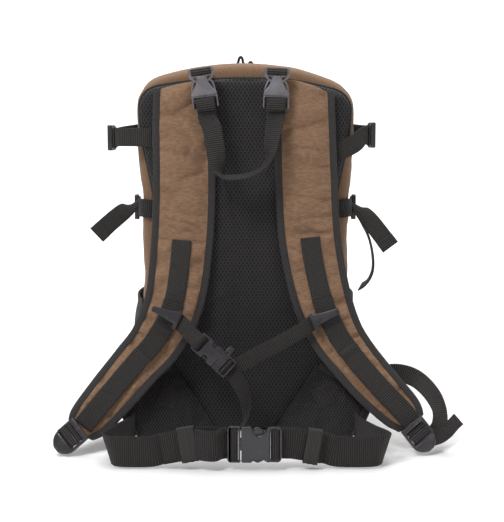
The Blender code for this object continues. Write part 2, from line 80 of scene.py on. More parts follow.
def stations(route, spacing, *others):
    """Evenly spaced points along a smooth route in mm, each with its distance along the route,
    its direction, and the values of others (lists with one entry for each route point)."""
    path = smooth([Vector(p) for p in route])
    tracks = [smooth([Vector(v) for v in track]) for track in others]
    lengths = [0.0]
    for a, b in zip(path, path[1:]):
        lengths.append(lengths[-1] + (b - a).length)
    count = max(2, round(lengths[-1] / spacing))
    found, i = [], 0
    for k in range(count + 1):
        s = lengths[-1] * k / count
        while i < len(lengths) - 2 and lengths[i + 1] < s:
            i += 1
        t = (s - lengths[i]) / max(lengths[i + 1] - lengths[i], 1e-9)
        found.append([s, path[i].lerp(path[i + 1], t)] + [x[i].lerp(x[i + 1], t) for x in tracks])
    for k, row in enumerate(found):
        ahead = found[min(k + 1, count)][1] - found[max(k - 1, 0)][1]
        row.insert(2, ahead.normalized())
    return found


def placed(origin, along, facing):
    """The matrix that puts local X on along and local Z on facing, at origin in mm."""
    x = Vector(along).normalized()
    z = Vector(facing)
    z = (z - x * z.dot(x)).normalized()
    turn = Matrix((x, z.cross(x), z)).transposed().to_4x4()
    return Matrix.Translation(Vector(origin) * MM) @ turn


def local(seat, points):
    """World points in mm from points in mm in a piece's own frame."""
    return [tuple((seat @ (Vector(p) * MM)) / MM) for p in points]


# ============================================================ materials
class Finish:
    """A material under construction, with short calls for the nodes it needs."""

    def __init__(self, name, colour, roughness, specular=0.5):
        self.made = bpy.data.materials.new(name)
        self.made.use_nodes = True
        self.tree = self.made.node_tree
        self.shader = self.tree.nodes["Principled BSDF"]
        self.set("Base Color", (*colour, 1.0))
        self.set("Roughness", roughness)
        self.set("Specular IOR Level", specular)

    def set(self, socket, value):
        self.shader.inputs[socket].default_value = value

    def node(self, kind, **inputs):
        made = self.tree.nodes.new(kind)
        for name, value in inputs.items():
            self.feed(made.inputs[name.replace("_", " ")], value)
        return made

    def feed(self, socket, value):
        if isinstance(value, bpy.types.NodeSocket):
            self.tree.links.new(value, socket)
        else:
            socket.default_value = value

    def maths(self, operation, *values):
        made = self.tree.nodes.new("ShaderNodeMath")
        made.operation = operation
        for socket, value in zip(made.inputs, values):
            self.feed(socket, value)
        return made.outputs[0]

    def place(self, name="Object"):
        """The three coordinates of the surface: Object, or UV in metres."""
        coords = self.tree.nodes.new("ShaderNodeTexCoord")
        split = self.node("ShaderNodeSeparateXYZ", Vector=coords.outputs[name])
        return coords.outputs[name], split.outputs

    def wave(self, value, period):
        """A cosine of value with a period in metres, from -1 to 1."""
        return self.maths("COSINE", self.maths("MULTIPLY", value, 2 * math.pi / period))

    def cloud(self, coords, scale, detail=2.0, stretch=(1, 1, 1)):
        mapped = self.node("ShaderNodeMapping", Vector=coords)
        mapped.inputs["Scale"].default_value = stretch
        made = self.node("ShaderNodeTexNoise", Vector=mapped.outputs[0], Scale=scale, Detail=detail)
        return made.outputs["Fac"]

    def step(self, value, low, high):
        """0 below low, 1 above high, and smooth between them."""
        made = self.tree.nodes.new("ShaderNodeMapRange")
        made.interpolation_type = "SMOOTHSTEP"
        self.feed(made.inputs["Value"], value)
        made.inputs["From Min"].default_value = low
        made.inputs["From Max"].default_value = high
        return made.outputs[0]

    def blend(self, share, first, second):
        made = self.tree.nodes.new("ShaderNodeMix")
        made.data_type = "RGBA"
        for socket, value in zip((made.inputs[0], made.inputs[6], made.inputs[7]), (share, first, second)):
            if isinstance(value, tuple):
                value = (*value, 1.0)
            self.feed(socket, value)
        return made.outputs[2]

    def colour(self, socket):
        self.feed(self.shader.inputs["Base Color"], socket)

    def bump(self, height, strength, distance):
        made = self.node("ShaderNodeBump", Height=height)
        made.inputs["Strength"].default_value = strength
        made.inputs["Distance"].default_value = distance
        self.feed(self.shader.inputs["Normal"], made.outputs[0])


def brown_cloth():
    """Plain-woven heavy nylon with slubs, a soft sheen and slight fading."""
    cloth = Finish("brown_cloth", (0.25, 0.15, 0.09), 0.88, specular=0.2)
    cloth.set("Sheen Weight", 0.12)
    cloth.set("Sheen Roughness", 0.5)
    uv, axes = cloth.place("UV")
    solid, _ = cloth.place()
    weave = cloth.maths("MULTIPLY", cloth.wave(axes[0], 0.0013), cloth.wave(axes[1], 0.0013))
    slub = cloth.maths(
        "ADD", cloth.cloud(uv, 800, 2), cloth.cloud(uv, 420, 2)
    )
    tone = cloth.cloud(solid, 16, 4)
    base = cloth.blend(tone, (0.150, 0.085, 0.048), (0.205, 0.118, 0.069))
    speck = cloth.step(slub, 0.75, 1.25)
    cloth.colour(cloth.blend(cloth.maths("MULTIPLY", speck, 0.40), base, (0.34, 0.215, 0.140)))
    height = cloth.maths("ADD", cloth.maths("MULTIPLY", weave, 0.5), slub)
    cloth.bump(height, 0.45, 0.0004)
    return cloth.made


def black_webbing(name, rib, cross=0.0, light=1.0):
    """Nylon webbing with ribs across it of period rib, and with cross also a waffle."""
    web = Finish(name, (0.025, 0.023, 0.023), 0.72, specular=0.3)
    web.set("Sheen Weight", 0.05)
    web.set("Sheen Roughness", 0.4)
    uv, axes = web.place("UV")
    ribs = web.wave(axes[0], rib)
    if cross:
        ribs = web.maths("MULTIPLY", ribs, web.wave(axes[1], cross))
    diagonal = web.wave(web.maths("ADD", axes[0], axes[1]), 0.0011)
    height = web.maths("ADD", ribs, web.maths("MULTIPLY", diagonal, 0.35))
    dust = web.cloud(uv, 220, 3)
    low = tuple(c * light for c in (0.0065, 0.0058, 0.0056))
    high = tuple(c * light for c in (0.060, 0.053, 0.051))
    # Pale flecks lifted into the colour stand for glints off the fibres: painted highlight.
    fibre_glint = web.step(web.cloud(uv, 1100, 1), 0.45, 0.7)
    share = web.maths("MULTIPLY", web.step(height, -0.7, 1.0), web.maths("ADD", dust, 0.35))
    share = web.maths("MULTIPLY_ADD", fibre_glint, 0.22, share)
    web.colour(web.blend(share, low, high))
    web.bump(height, 0.8, 0.0004)
    return web.made


def twill_binding():
    """The narrow tape that binds the straps' edges: fine diagonal ribs."""
    tape = Finish("twill_binding", (0.04, 0.036, 0.036), 0.8, specular=0.25)
    tape.set("Sheen Weight", 0.05)
    uv, axes = tape.place("UV")
    ribs = tape.wave(tape.maths("SUBTRACT", axes[0], axes[1]), 0.0016)
    share = tape.maths("MULTIPLY", tape.step(ribs, -1, 1), tape.maths("ADD", tape.cloud(uv, 300), 0.4))
    tape.colour(tape.blend(share, (0.017, 0.0155, 0.0155), (0.060, 0.054, 0.053)))
    tape.bump(ribs, 0.6, 0.0003)
    return tape.made


def spacer_mesh(name, pitch, row, light=1.0):
    """Knitted spacer mesh: rows of oval holes, each row half a pitch along from the last."""
    knit = Finish(name, (0.03, 0.027, 0.029), 0.75, specular=0.3)
    knit.set("Sheen Weight", 0.04)
    _, axes = knit.place()
    holes = knit.maths("MULTIPLY", knit.wave(axes[0], pitch), knit.wave(axes[2], 2 * row))
    open_share = knit.step(holes, -0.02, 0.34)
    threads = knit.cloud(knit.place()[0], 900, 2)
    face = knit.blend(
        threads, tuple(c * light for c in (0.012, 0.0108, 0.0118)),
        tuple(c * light for c in (0.060, 0.054, 0.058)),
    )
    knit.colour(knit.blend(open_share, face, (0.0015, 0.0015, 0.0015)))
    height = knit.maths("SUBTRACT", knit.maths("MULTIPLY", threads, 0.3), open_share)
    knit.bump(height, 0.9, 0.0012)
    return knit.made


def moulded_plastic(name, low, high, roughness):
    """Satin acetal with a faint mould grain, rubbed paler along some of its length."""
    acetal = Finish(name, low, roughness, specular=0.5)
    solid, _ = acetal.place()
    scuff = acetal.step(acetal.cloud(solid, 45, 5), 0.40, 0.80)
    acetal.colour(acetal.blend(scuff, low, high))
    grain = acetal.cloud(solid, 2500, 2)
    acetal.bump(grain, 0.06, 0.0002)
    rough = acetal.maths("ADD", acetal.maths("MULTIPLY", scuff, 0.12), roughness - 0.04)
    acetal.feed(acetal.shader.inputs["Roughness"], rough)
    return acetal.made


def zip_metal():
    metal = Finish("zip_metal", (0.09, 0.09, 0.092), 0.32, specular=0.5)
    metal.set("Metallic", 0.85)
    solid, _ = metal.place()
    metal.colour(metal.blend(metal.cloud(solid, 400, 4), (0.06, 0.06, 0.062), (0.16, 0.16, 0.165)))
    return metal.made


def zip_coil():
    """Coil zip: two rows of teeth that meet, on a tape."""
    coil = Finish("zip_coil", (0.03, 0.03, 0.03), 0.5, specular=0.4)
    _, axes = coil.place("UV")
    teeth = coil.wave(axes[0], 0.0019)
    centre = coil.step(coil.maths("ABSOLUTE", axes[1]), 0.0032, 0.0024)
    share = coil.maths("MULTIPLY", coil.step(teeth, -0.6, 0.8), centre)
    coil.colour(coil.blend(share, (0.012, 0.012, 0.012), (0.075, 0.073, 0.073)))
    coil.bump(share, 0.9, 0.0006)
    return coil.made


def grey_lining():
    lining = Finish("grey_lining", (0.13, 0.125, 0.12), 0.7, specular=0.3)
    _, axes = lining.place()
    grid = lining.maths("MAXIMUM", lining.wave(axes[0], 0.005), lining.wave(axes[2], 0.005))
    lining.colour(lining.blend(lining.step(grid, 0.85, 1.0), (0.11, 0.105, 0.1), (0.19, 0.185, 0.18)))
    lining.bump(grid, 0.3, 0.0003)
    return lining.made


def thread(name, colour):
    made = Finish(name, colour, 0.6, specular=0.4)
    _, axes = made.place()
    twist = made.wave(made.maths("ADD", axes[0], axes[2]), 0.0007)
    made.bump(twist, 0.5, 0.0002)
    return made.made


def pale_floor():
    floor = Finish("pale_floor", (0.93, 0.93, 0.93), 0.7, specular=0.2)
    return floor.made


BROWN = brown_cloth()
WEB = black_webbing("black_webbing", 0.0026, light=0.85)
BELT = black_webbing("black_belt_webbing", 0.0025, light=0.7)
WAFFLE = black_webbing("waffle_webbing", 0.0036, cross=0.0036)
TAPE = twill_binding()
MESH = spacer_mesh("spacer_mesh", 0.0048, 0.0038, light=0.7)
FIN_MESH = spacer_mesh("fin_mesh", 0.0038, 0.0032, light=0.8)
POCKET_MESH = spacer_mesh("pocket_mesh", 0.0052, 0.0045, light=0.6)
PLASTIC = moulded_plastic("black_plastic", (0.028, 0.0255, 0.0290), (0.040, 0.0365, 0.0420), 0.28)
# A paler copy of the black plastic for the haul buckles: its lighter colour is painted reflection of the
# lamps on their satin faces.
REFLECTION_PAINTED_PLASTIC = moulded_plastic("haul_plastic_painted_reflection", (0.125, 0.117, 0.130), (0.180, 0.170, 0.186), 0.30)
METAL = zip_metal()
COIL = zip_coil()
LINING = grey_lining()
DARK_THREAD = thread("dark_thread", (0.035, 0.033, 0.034))
BROWN_THREAD = thread("brown_thread", (0.20, 0.125, 0.08))


# ============================================================ mesh building
def link(name, mesh, finishes):
    for finish in finishes:
        mesh.materials.append(finish)
    obj = bpy.data.objects.new(name, mesh)
    bpy.context.scene.collection.objects.link(obj)
    return obj


def skin(name, rings, us, vs, finishes, columns=None, caps=True):
    """A mesh through closed rings in mm. Its UV map is us (one for each ring) by vs (one for each
    point and one more), in mm, and columns gives each column of faces its finish."""
    count = len(rings[0])
    verts = [tuple(Vector(p) * MM) for ring in rings for p in ring]
    faces, corners, slots = [], [], []
    for r in range(len(rings) - 1):
        for i in range(count):
            j = (i + 1) % count
            faces.append((r * count + i, r * count + j, (r + 1) * count + j, (r + 1) * count + i))
            corners += [(us[r], vs[i]), (us[r], vs[i + 1]), (us[r + 1], vs[i + 1]), (us[r + 1], vs[i])]
            slots.append(columns[i] if columns else 0)
    if caps:
        last = (len(rings) - 1) * count
        for ring, at in ((list(range(count))[::-1], us[0]), ([last + i for i in range(count)], us[-1])):
            faces.append(tuple(ring))
            corners += [(at, vs[i % count]) for i in ring]
            slots.append(columns[0] if columns else 0)
    mesh = bpy.data.meshes.new(name)
    mesh.from_pydata(verts, [], faces)
    layer = mesh.uv_layers.new(name="UVMap")
    for loop, (u, v) in zip(layer.data, corners):
        loop.uv = (u * MM, v * MM)
    for face, slot in zip(mesh.polygons, slots):
        face.material_index = slot
        face.use_smooth = True
    shape = bmesh.new()
    shape.from_mesh(mesh)
    bmesh.ops.recalc_face_normals(shape, faces=shape.faces)
    shape.to_mesh(mesh)
    shape.free()
    return link(name, mesh, finishes)


def ribbon(name, route, width, finish, facing=None, across=None, depth=1.5, spacing=2.0, parts=8):
    """Webbing along a route in mm: a flat band with soft edges. Its flat side looks along facing,
    or its width lies along across; each is one value or one for each route point."""
    count = len(route)
    guides = [Vector(g).normalized() for g in listed(facing if across is None else across, count)]
    sizes = [(w, d, 0) for w, d in zip(listed(width, count), listed(depth, count))]
    rings, us = [], []
    for s, point, along, guide, size in stations(route, spacing, guides, sizes):
        side = along.cross(guide) if across is None else guide - along * guide.dot(along)
        side.normalize()
        out = side.cross(along).normalized()
        half, thick = size.x / 2, size.y / 2
        row = [(-half + size.x * k / parts, thick) for k in range(parts + 1)]
        row[0], row[-1] = (-half + 0.4, thick), (half - 0.4, thick)
        profile = row + [(half, 0)] + [(a, -b) for a, b in reversed(row)] + [(-half, 0)]
        rings.append([point + side * a + out * b for a, b in profile])
        us.append(s)
    wide = sizes[0][0]
    vs = [a for a, _ in profile] + [profile[0][0]]
    return skin(name, rings, us, [v * wide / size.x for v in vs], [finish])


def tube(name, route, radius, finish, spacing=2.5, sides=8):
    """A round piping or cord along a route in mm."""
    rings, us = [], []
    side = None
    for s, point, along in stations(route, spacing):
        if side is None:
            side = along.orthogonal().normalized()
        side = (side - along * side.dot(along)).normalized()
        up = along.cross(side)
        turns = [2 * math.pi * k / sides for k in range(sides)]
        rings.append([point + (side * math.cos(a) + up * math.sin(a)) * radius for a in turns])
        us.append(s)
    return skin(name, rings, us, [2 * math.pi * radius * k / sides for k in range(sides + 1)], [finish])


def stitches(name, runs, finish, pitch=3.2, length=2.2, centre=None):
    """Rows of lockstitch. Each run is a route in mm and the way out of the cloth, or None where
    that is away from centre."""
    verts, faces = [], []
    for route, look in runs:
        for _, point, along in stations(route, pitch):
            out = (point - Vector((centre.x, point.y, centre.z))) if look is None else Vector(look)
            out = (out - along * out.dot(along)).normalized()
            side = along.cross(out) * 0.35
            middle = point + out * 0.15
            half = along * length / 2
            base = len(verts)
            ends = [middle - half, middle + side, middle + out * 0.45, middle - side, middle + half,
                    middle - out * 0.3]
            verts += [tuple(p * MM) for p in ends]
            for a, b in ((1, 2), (2, 3), (3, 5), (5, 1)):
                faces += [(base, base + a, base + b), (base + 4, base + b, base + a)]
    mesh = bpy.data.meshes.new(name)
    mesh.from_pydata(verts, [], faces)
    return link(name, mesh, [finish])


def refine(obj, levels=1):
    step = obj.modifiers.new("fine", "SUBSURF")
    step.levels = levels
    step.render_levels = levels
    return obj


def only(obj):
    """Makes obj the one selected and active object, in object mode."""
    if bpy.context.mode != "OBJECT":
        bpy.ops.object.mode_set(mode="OBJECT")
    bpy.ops.object.select_all(action="DESELECT")
    obj.select_set(True)
    bpy.context.view_layer.objects.active = obj


def apply_all(obj):
    only(obj)
    for step in list(obj.modifiers):
        bpy.ops.object.modifier_apply(modifier=step.name)
    return obj


def rounded(points, radius, steps=4):
    """An outline with its corners turned to arcs of about radius mm."""
    out = []
    count = len(points)
    for i, (x, y) in enumerate(points):
        corner = Vector((x, y))
        before, after = Vector(points[i - 1]) - corner, Vector(points[(i + 1) % count]) - corner
        reach = min(radius, before.length * 0.45, after.length * 0.45)
        a, b = corner + before.normalized() * reach, corner + after.normalized() * reach
        for k in range(steps + 1):
            t = k / steps
            out.append(tuple(a.lerp(corner, t).lerp(corner.lerp(b, t), t)))
    return out


def pick(obj, test, kind="VERT"):
    """Goes into edit mode with only those vertices, edges or faces selected that pass test."""
    only(obj)
    bpy.ops.object.mode_set(mode="EDIT")
    bpy.ops.mesh.select_mode(type=kind)
    bpy.ops.mesh.select_all(action="DESELECT")
    bpy.ops.object.mode_set(mode="OBJECT")
    mesh = obj.data
    parts = {"VERT": mesh.vertices, "EDGE": mesh.edges, "FACE": mesh.polygons}[kind]
    for part in parts:
        part.select = test(part)
    bpy.ops.object.mode_set(mode="EDIT")


def block(name, low, high, corner=0.0):
    """A block between two corners in mm, with its four upright edges rounded by corner."""
    bpy.ops.object.select_all(action="DESELECT")
    middle = [(a + b) / 2 * MM for a, b in zip(low, high)]
    size = [(b - a) * MM for a, b in zip(low, high)]
    bpy.ops.mesh.primitive_cube_add(size=1, location=middle, scale=size)
    obj = bpy.context.active_object
    obj.name = name
    bpy.ops.object.transform_apply(location=True, rotation=True, scale=True)
    if corner:
        points = obj.data.vertices

        def upright(edge):
            a, b = (points[i].co for i in edge.vertices)
            return abs(a.z - b.z) > 1e-6

        pick(obj, upright, "EDGE")
        bpy.ops.mesh.bevel(offset=corner * MM, segments=4, affect="EDGES")
        bpy.ops.object.mode_set(mode="OBJECT")
    return obj


def plate(name, sections, low, high):
    """A plate between heights low and high, whose sides are drawn in or out at each section, given
    as (x, lower side, upper side) in mm."""
    obj = block(name, (sections[0][0], -1000, low), (sections[-1][0], 1000, high))
    for x, _, _ in sections[1:-1]:
        pick(obj, lambda part: True)
        bpy.ops.mesh.bisect(plane_co=(x * MM, 0, 0), plane_no=(1, 0, 0))
    for x, lower, upper in sections:
        for sign, side in ((-1, lower), (1, upper)):
            pick(obj, lambda v: abs(v.co.x - x * MM) < 1e-6 and abs(v.co.y - sign) < 1e-3)
            bpy.ops.transform.translate(value=(0, side * MM - sign, 0))
    bpy.ops.object.mode_set(mode="OBJECT")
    return obj


def even(profile):
    """Sections that are the same on both sides, from (x, half width)."""
    return [(x, -half, half) for x, half in profile]


def cut_out(obj, cutter):
    """Cuts cutter's shape out of obj."""
    step = obj.modifiers.new("cut", "BOOLEAN")
    step.operation = "DIFFERENCE"
    step.object = cutter
    apply_all(obj)
    bpy.data.objects.remove(cutter)
    return obj


def window(obj, x0, x1, y0, y1, corner=1.0):
    """Cuts a window with rounded corners through a plate."""
    return cut_out(obj, block("cutter", (x0, y0, -20), (x1, y1, 20), corner))


def round_edges(obj, radius, segments=3):
    step = obj.modifiers.new("edges", "BEVEL")
    step.width = radius * MM
    step.segments = segments
    step.limit_method = "ANGLE"
    step.angle_limit = math.radians(38)
    return apply_all(obj)


def fitted(name, pieces, seat, finish):
    """Pieces of one moulding joined, moved to their place and given their finish."""
    only(pieces[0])
    for piece in pieces[1:]:
        piece.select_set(True)
    if pieces[1:]:
        bpy.ops.object.join()
    obj = bpy.context.view_layer.objects.active
    obj.name = name
    obj.data.name = name
    obj.matrix_world = seat
    bpy.ops.object.transform_apply(location=True, rotation=True, scale=True)
    bpy.ops.object.shade_smooth_by_angle(angle=math.radians(40))
    obj.data.materials.clear()
    obj.data.materials.append(finish)
    return obj


def puff(obj, held, pressure, growth, frames, reach):
    """Blows up a closed skin with a cloth simulation. held says how firmly each point is kept,
    growth is how much the cloth is longer than its pattern, and reach is the furthest move."""
    rest = [v.co.copy() for v in obj.data.vertices]
    group = obj.vertex_groups.new(name="held")
    for i, weight in enumerate(held):
        group.add([i], weight, "REPLACE")
    step = obj.modifiers.new("cloth", "CLOTH")
    settings = step.settings
    settings.quality = 6
    settings.mass = 0.25
    settings.tension_stiffness = 20
    settings.compression_stiffness = 8
    settings.shear_stiffness = 6
    settings.bending_stiffness = 0.4
    settings.use_pressure = True
    settings.uniform_pressure_force = pressure
    settings.shrink_min = -growth
    settings.vertex_group_mass = "held"
    settings.effector_weights.gravity = 0
    step.collision_settings.use_collision = False
    step.point_cache.frame_end = frames
    for k in range(1, frames + 1):
        bpy.context.scene.frame_set(k)
    apply_all(obj)
    for v, start in zip(obj.data.vertices, rest):
        moved = v.co - start
        if moved.length > reach * MM:
            v.co = start + moved.normalized() * reach * MM
    bpy.context.scene.frame_set(1)
    return obj


def settle(obj, body, slot, *nodes):
    """Puts a finished piece on its body and hides the CAD nodes it stands for. The argument slot is not
    used.
    """
    if body:
        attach(obj, body)
    if nodes:
        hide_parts(*nodes)
    return obj


# ============================================================ bag
BAG_TOP = 480.0
ARCH_RADIUS = 380.0
HALF_WIDTH = 141.0
BASE_HALF_WIDTH = 128.0
TOP_CORNER = 42.0
BASE_CORNER = 24.0
SEAM_Y = 45.0
FLAP_BOTTOM = 110.0
SIDES = [(131, 96), (134, 150), (134, 230), (136, 310), (141, 376)]
GUSSET = [
    (-95.4, 40), (-95.3, 24), (-95, 9), (-93, 5.5), (-89, 3), (-82, 1), (-74, 0), (-66, -0.9),
    (-63, -1.0), (-61.5, 0.6), (-60, -1.1), (-55, -1.5), (-30, -2), (-5, -2), (20, 0), (45, 2),
    (60, 5), (72, 9), (81, 15), (88, 22), (93.5, 31), (97, 42), (99, 54), (100, 66),
]


def outline(inset):
    """The bag's outline in X and Z, moved inwards by inset, from the middle of the base round by
    the right-hand side."""
    base_r = max(BASE_CORNER - inset, 3)
    top_r = max(TOP_CORNER - inset, 3)
    arch_r = ARCH_RADIUS - inset
    base_x = BASE_HALF_WIDTH - inset - base_r
    base_z = max(inset, 0.0)
    half = [(base_x * k / 3, base_z) for k in range(3)]
    for k in range(7):
        a = math.radians(-90 + 15 * k)
        half.append((base_x + base_r * math.cos(a), base_z + base_r * (1 + math.sin(a))))
    half += [(x - inset, z) for x, z in SIDES]
    corner_x = HALF_WIDTH - inset - top_r
    arch_z = BAG_TOP - ARCH_RADIUS
    corner_z = arch_z + math.sqrt((arch_r - top_r) ** 2 - corner_x ** 2)
    last = math.atan2(corner_z - arch_z, corner_x)
    for k in range(9):
        a = last * k / 8
        half.append((corner_x + top_r * math.cos(a), corner_z + top_r * math.sin(a)))
    start = math.pi / 2 - last
    for k in range(1, 9):
        a = start * (1 - k / 8)
        half.append((arch_r * math.sin(a), arch_z + arch_r * math.cos(a)))
    return half + [(-x, z) for x, z in reversed(half[1:-1])]


def even_ring(y, inset, count):
    """The outline at depth y as count evenly spread points."""
    loop = [Vector((x, y, z)) for x, z in outline(inset)]
    loop.append(loop[0])
    lengths = [0.0]
    for a, b in zip(loop, loop[1:]):
        lengths.append(lengths[-1] + (b - a).length)
    ring, i = [], 0
    for k in range(count):
        s = lengths[-1] * k / count
        while lengths[i + 1] < s:
            i += 1
        t = (s - lengths[i]) / max(lengths[i + 1] - lengths[i], 1e-9)
        ring.append(loop[i].lerp(loop[i + 1], t))
    return ring


def ease(value, low, high):
    """0 at low, 1 at high, and smooth between them."""
    t = max(0.0, min(1.0, (value - low) / (high - low)))
    return t * t * (3 - 2 * t)


def crease(a, b):
    """1 along thin wandering lines, and 0 away from them."""
    return math.exp(-((noise.noise(Vector((a, b, 1.7))) / 0.075) ** 2))


def folds(p, across=7.0, down=22.0, seed=0.0):
    """Soft sideways folds of filled cloth and a finer pucker, from about -1 to 1."""
    x, y, z = p * MM
    fold = noise.noise(Vector((x * across + seed, y * across, z * down)))
    line = crease(x * 8 + y * 9 + seed, z * 30 + y * 6)
    pucker = noise.noise(Vector((x * 38 + 5, y * 38, z * 75 + seed)))
    return fold - line * 0.6 + pucker * 0.25


def crumple(p, out):
    """How far the bag's cloth stands out of its pattern at p: loose at the sides, drawn in along
    the seams and a little hollow between them."""
    loose = 0.35 + 0.65 * ease(abs(out.x), 0.3, 0.9)
    loose *= 0.3 + 0.7 * ease(p.z, 4, 40)
    push = folds(p) * 3.0 * loose
    seam = min(abs(p.y + 95), abs(p.y - SEAM_Y))
    push *= 0.25 + 0.75 * ease(seam, 1, 16)
    return push - 1.6 * (1 - ease(abs(p.y - SEAM_Y), 4, 12))


def trim(obj, seam, low, keep_panel):
    """Cuts the loft along the zip, and keeps the front panel or the rest of the bag."""
    for co, no in (((0, seam * MM, 0), (0, 1, 0)), ((0, 0, low * MM), (0, 0, 1))):
        pick(obj, lambda part: True)
        bpy.ops.mesh.bisect(plane_co=co, plane_no=no)
    panel = lambda face: face.center.y > seam * MM and face.center.z > low * MM
    pick(obj, lambda face: panel(face) != keep_panel, "FACE")
    bpy.ops.mesh.delete(type="FACE")
    bpy.ops.object.mode_set(mode="OBJECT")


def make_bag():
    """The bag's shell and the front panel that folds down, cut from one crumpled loft."""
    count = 176
    depths = []
    for (y0, i0), (y1, i1) in zip(GUSSET, GUSSET[1:]):
        steps = max(1, round(math.hypot(y1 - y0, i1 - i0) / 6.5))
        depths += [(y0 + (y1 - y0) * k / steps, i0 + (i1 - i0) * k / steps) for k in range(steps)]
    depths += [(100 + min(k, 2) * 0.5, 66 + 9.5 * k) for k in range(6)]
    rings, us = [], []
    run = 0.0
    for k, (y, inset) in enumerate(depths):
        if k:
            run += math.hypot(y - depths[k - 1][0], inset - depths[k - 1][1])
        us.append(run)
        rings.append(even_ring(y, inset, count))
    bag = skin("bag_cloth", rings, us, [8.5 * k for k in range(count + 1)], [BROWN, LINING])
    for v in bag.data.vertices:
        p = v.co / MM
        p += v.normal * crumple(p, v.normal)
        p.z -= 5 * ease(p.x, 55, 125) * ease(p.z, 380, 450)
        p.z = max(p.z, 0.0)
        v.co = p * MM
    panel = bag.copy()
    panel.data = bag.data.copy()
    panel.name = "panel_cloth"
    bpy.context.scene.collection.objects.link(panel)
    trim(bag, SEAM_Y, FLAP_BOTTOM - 0.4, keep_panel=False)
    trim(panel, SEAM_Y + 0.6, FLAP_BOTTOM + 0.4, keep_panel=True)
    for piece in (bag, panel):
        wall = piece.modifiers.new("wall", "SOLIDIFY")
        wall.thickness = 2.5 * MM
        wall.offset = -1
        wall.material_offset = 1
        apply_all(piece)
        refine(piece)
    settle(bag, "pack", "brown_fabric", "main_bag")
    settle(panel, "flap", "brown_fabric", "front_flap")


def seam_route(y, inset, low):
    """A route round the bag at depth y, open at the bottom, that stops at height low."""
    ring = even_ring(y, inset, 150)
    kept = [p for p in ring if p.z > low]
    for p in kept:
        p.z -= 5 * ease(p.x, 55, 125) * ease(p.z, 380, 450)
    return kept


def make_zip():
    """The zip round the front panel: a tape and a row of teeth on each side of the opening."""
    centre = Vector((0, 0, 235))
    for tag, body, y, inset, node in (
        ("bag", "pack", SEAM_Y - 3.6, 3.2, None), ("panel", "flap", SEAM_Y + 3.9, 3.6, "main_zip_coil")
    ):
        route = seam_route(y, inset, FLAP_BOTTOM + (4 if tag == "panel" else -6))
        out = [(p - Vector((0, p.y, centre.z))).normalized() for p in route]
        tape = ribbon(f"zip_tape_{tag}", route, 7, COIL, facing=out, depth=1.3, parts=6)
        nodes = [node] if node else []
        settle(tape, body, "black_webbing", *nodes)
    for tag, body, y in (("bag", "pack", SEAM_Y - 9), ("panel", "flap", SEAM_Y + 10)):
        route = seam_route(y, 0.4 if tag == "bag" else 1.6, FLAP_BOTTOM + 6)
        runs = [(route, None)]
        rows = stitches(f"zip_stitches_{tag}", runs, BROWN_THREAD, centre=centre)
        settle(rows, body, "brown_fabric")


def pocket_outline(inset, z0=150, z1=345, half=92):
    low, high, wide = z0 + inset, z1 - inset, half - inset
    corners = [(-wide, low), (wide, low), (wide, high), (-wide, high)]
    return rounded(corners, max(20 - inset * 0.3, 3), 6)


def make_front_pocket():
    levels = [(100.4, 0), (103, -0.8), (107, -0.4), (110, 2), (112, 7), (113.2, 16), (113.8, 30),
              (114.2, 46), (114.4, 62), (114.4, 76)]
    rings = []
    for y, inset in levels:
        rings.append([Vector((x, y, z)) for x, z in pocket_outline(inset)])
    us = [0, 3, 7, 11, 18, 27, 41, 57, 73, 87]
    body = skin("pocket_cloth", rings, us, [24 * k for k in range(len(rings[0]) + 1)], [BROWN])
    step = body.modifiers.new("fine", "SUBSURF")
    step.levels = step.render_levels = 2
    apply_all(body)
    for v in body.data.vertices:
        p = v.co / MM
        if p.y > 108:
            v.co.y += folds(p, 9, 16, 7.0) * 1.1 * MM
    settle(body, "flap", "brown_fabric", "front_pocket")
    tape = [(-84, 114.6, 330.5), (-40, 115.6, 330.5), (0, 115.8, 330.5), (40, 115.6, 330.5),
            (84, 114.6, 330.5)]
    coil = ribbon("pocket_zip_tape", tape, 8, COIL, facing=(0, 1, 0), depth=1.6, parts=6)
    settle(coil, "flap", "black_webbing", "pocket_zip_coil")
    for z in (323, 338):
        route = [(x, y + 0.2, z) for x, y, _ in tape]
        rows = stitches(f"pocket_stitches_{z}", [(route, (0, 1, 0))], BROWN_THREAD)
        settle(rows, "flap", "brown_fabric")


def pad_shape(p):
    """Draws the back pad in below the bag's top corners, and down from its top seam."""
    low = ease(430 - p.z, 0, 150)
    wide = 1.035 - 0.105 * low
    crown = ease(p.z, 330, 460) * (10 - 9 * (p.x / 130) ** 2)
    foot = 8.5 * (1 - ease(p.z, 8, 60))
    corner = 4 * ease(p.x, 55, 125) * ease(p.z, 380, 450)
    return Vector((p.x * wide, p.y, p.z - crown - foot - corner))


def make_pad():
    """The back pad: foam under black spacer mesh, bound where it meets the bag."""
    count = 150
    levels = [(-96.4, 13), (-99, 11.5), (-103, 11.2), (-107, 11.8), (-110, 13.6), (-112, 17), (-113, 22),
              (-113.4, 30), (-113.5, 42), (-113.5, 56), (-113.4, 72), (-113.3, 90), (-113.2, 112)]
    rings = [[pad_shape(p) for p in even_ring(y, inset, count)] for y, inset in levels]
    us = [0, 3, 7, 11, 15, 20, 26, 34, 46, 60, 76, 94, 116]
    pad = skin("pad_mesh", rings, us, [9 * k for k in range(count + 1)], [MESH])
    refine(pad, 2)
    apply_all(pad)
    for v in pad.data.vertices:
        p = v.co / MM
        if p.y < -108:
            soft = folds(p, 6, 9, 11.0) * 1.3 * ease(-p.y, 108, 113)
            hollow = 1.6 * (1 - ease(abs(p.x), 6, 34))
            v.co.y = max(v.co.y + (soft + hollow) * MM, -0.1150)
    settle(pad, "pack", "black_mesh", "back_pad")
    ring = [pad_shape(p) for p in even_ring(-98, 10.4, 120)]
    piping = tube("pad_piping", ring[60:] + ring[:61], 1.9, TAPE)
    settle(piping, "pack", "black_webbing")
    for node, finish in (("frame_sheet", PLASTIC), ("inner_sleeve", LINING)):
        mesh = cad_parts[node].data
        mesh.materials.clear()
        mesh.materials.append(finish)


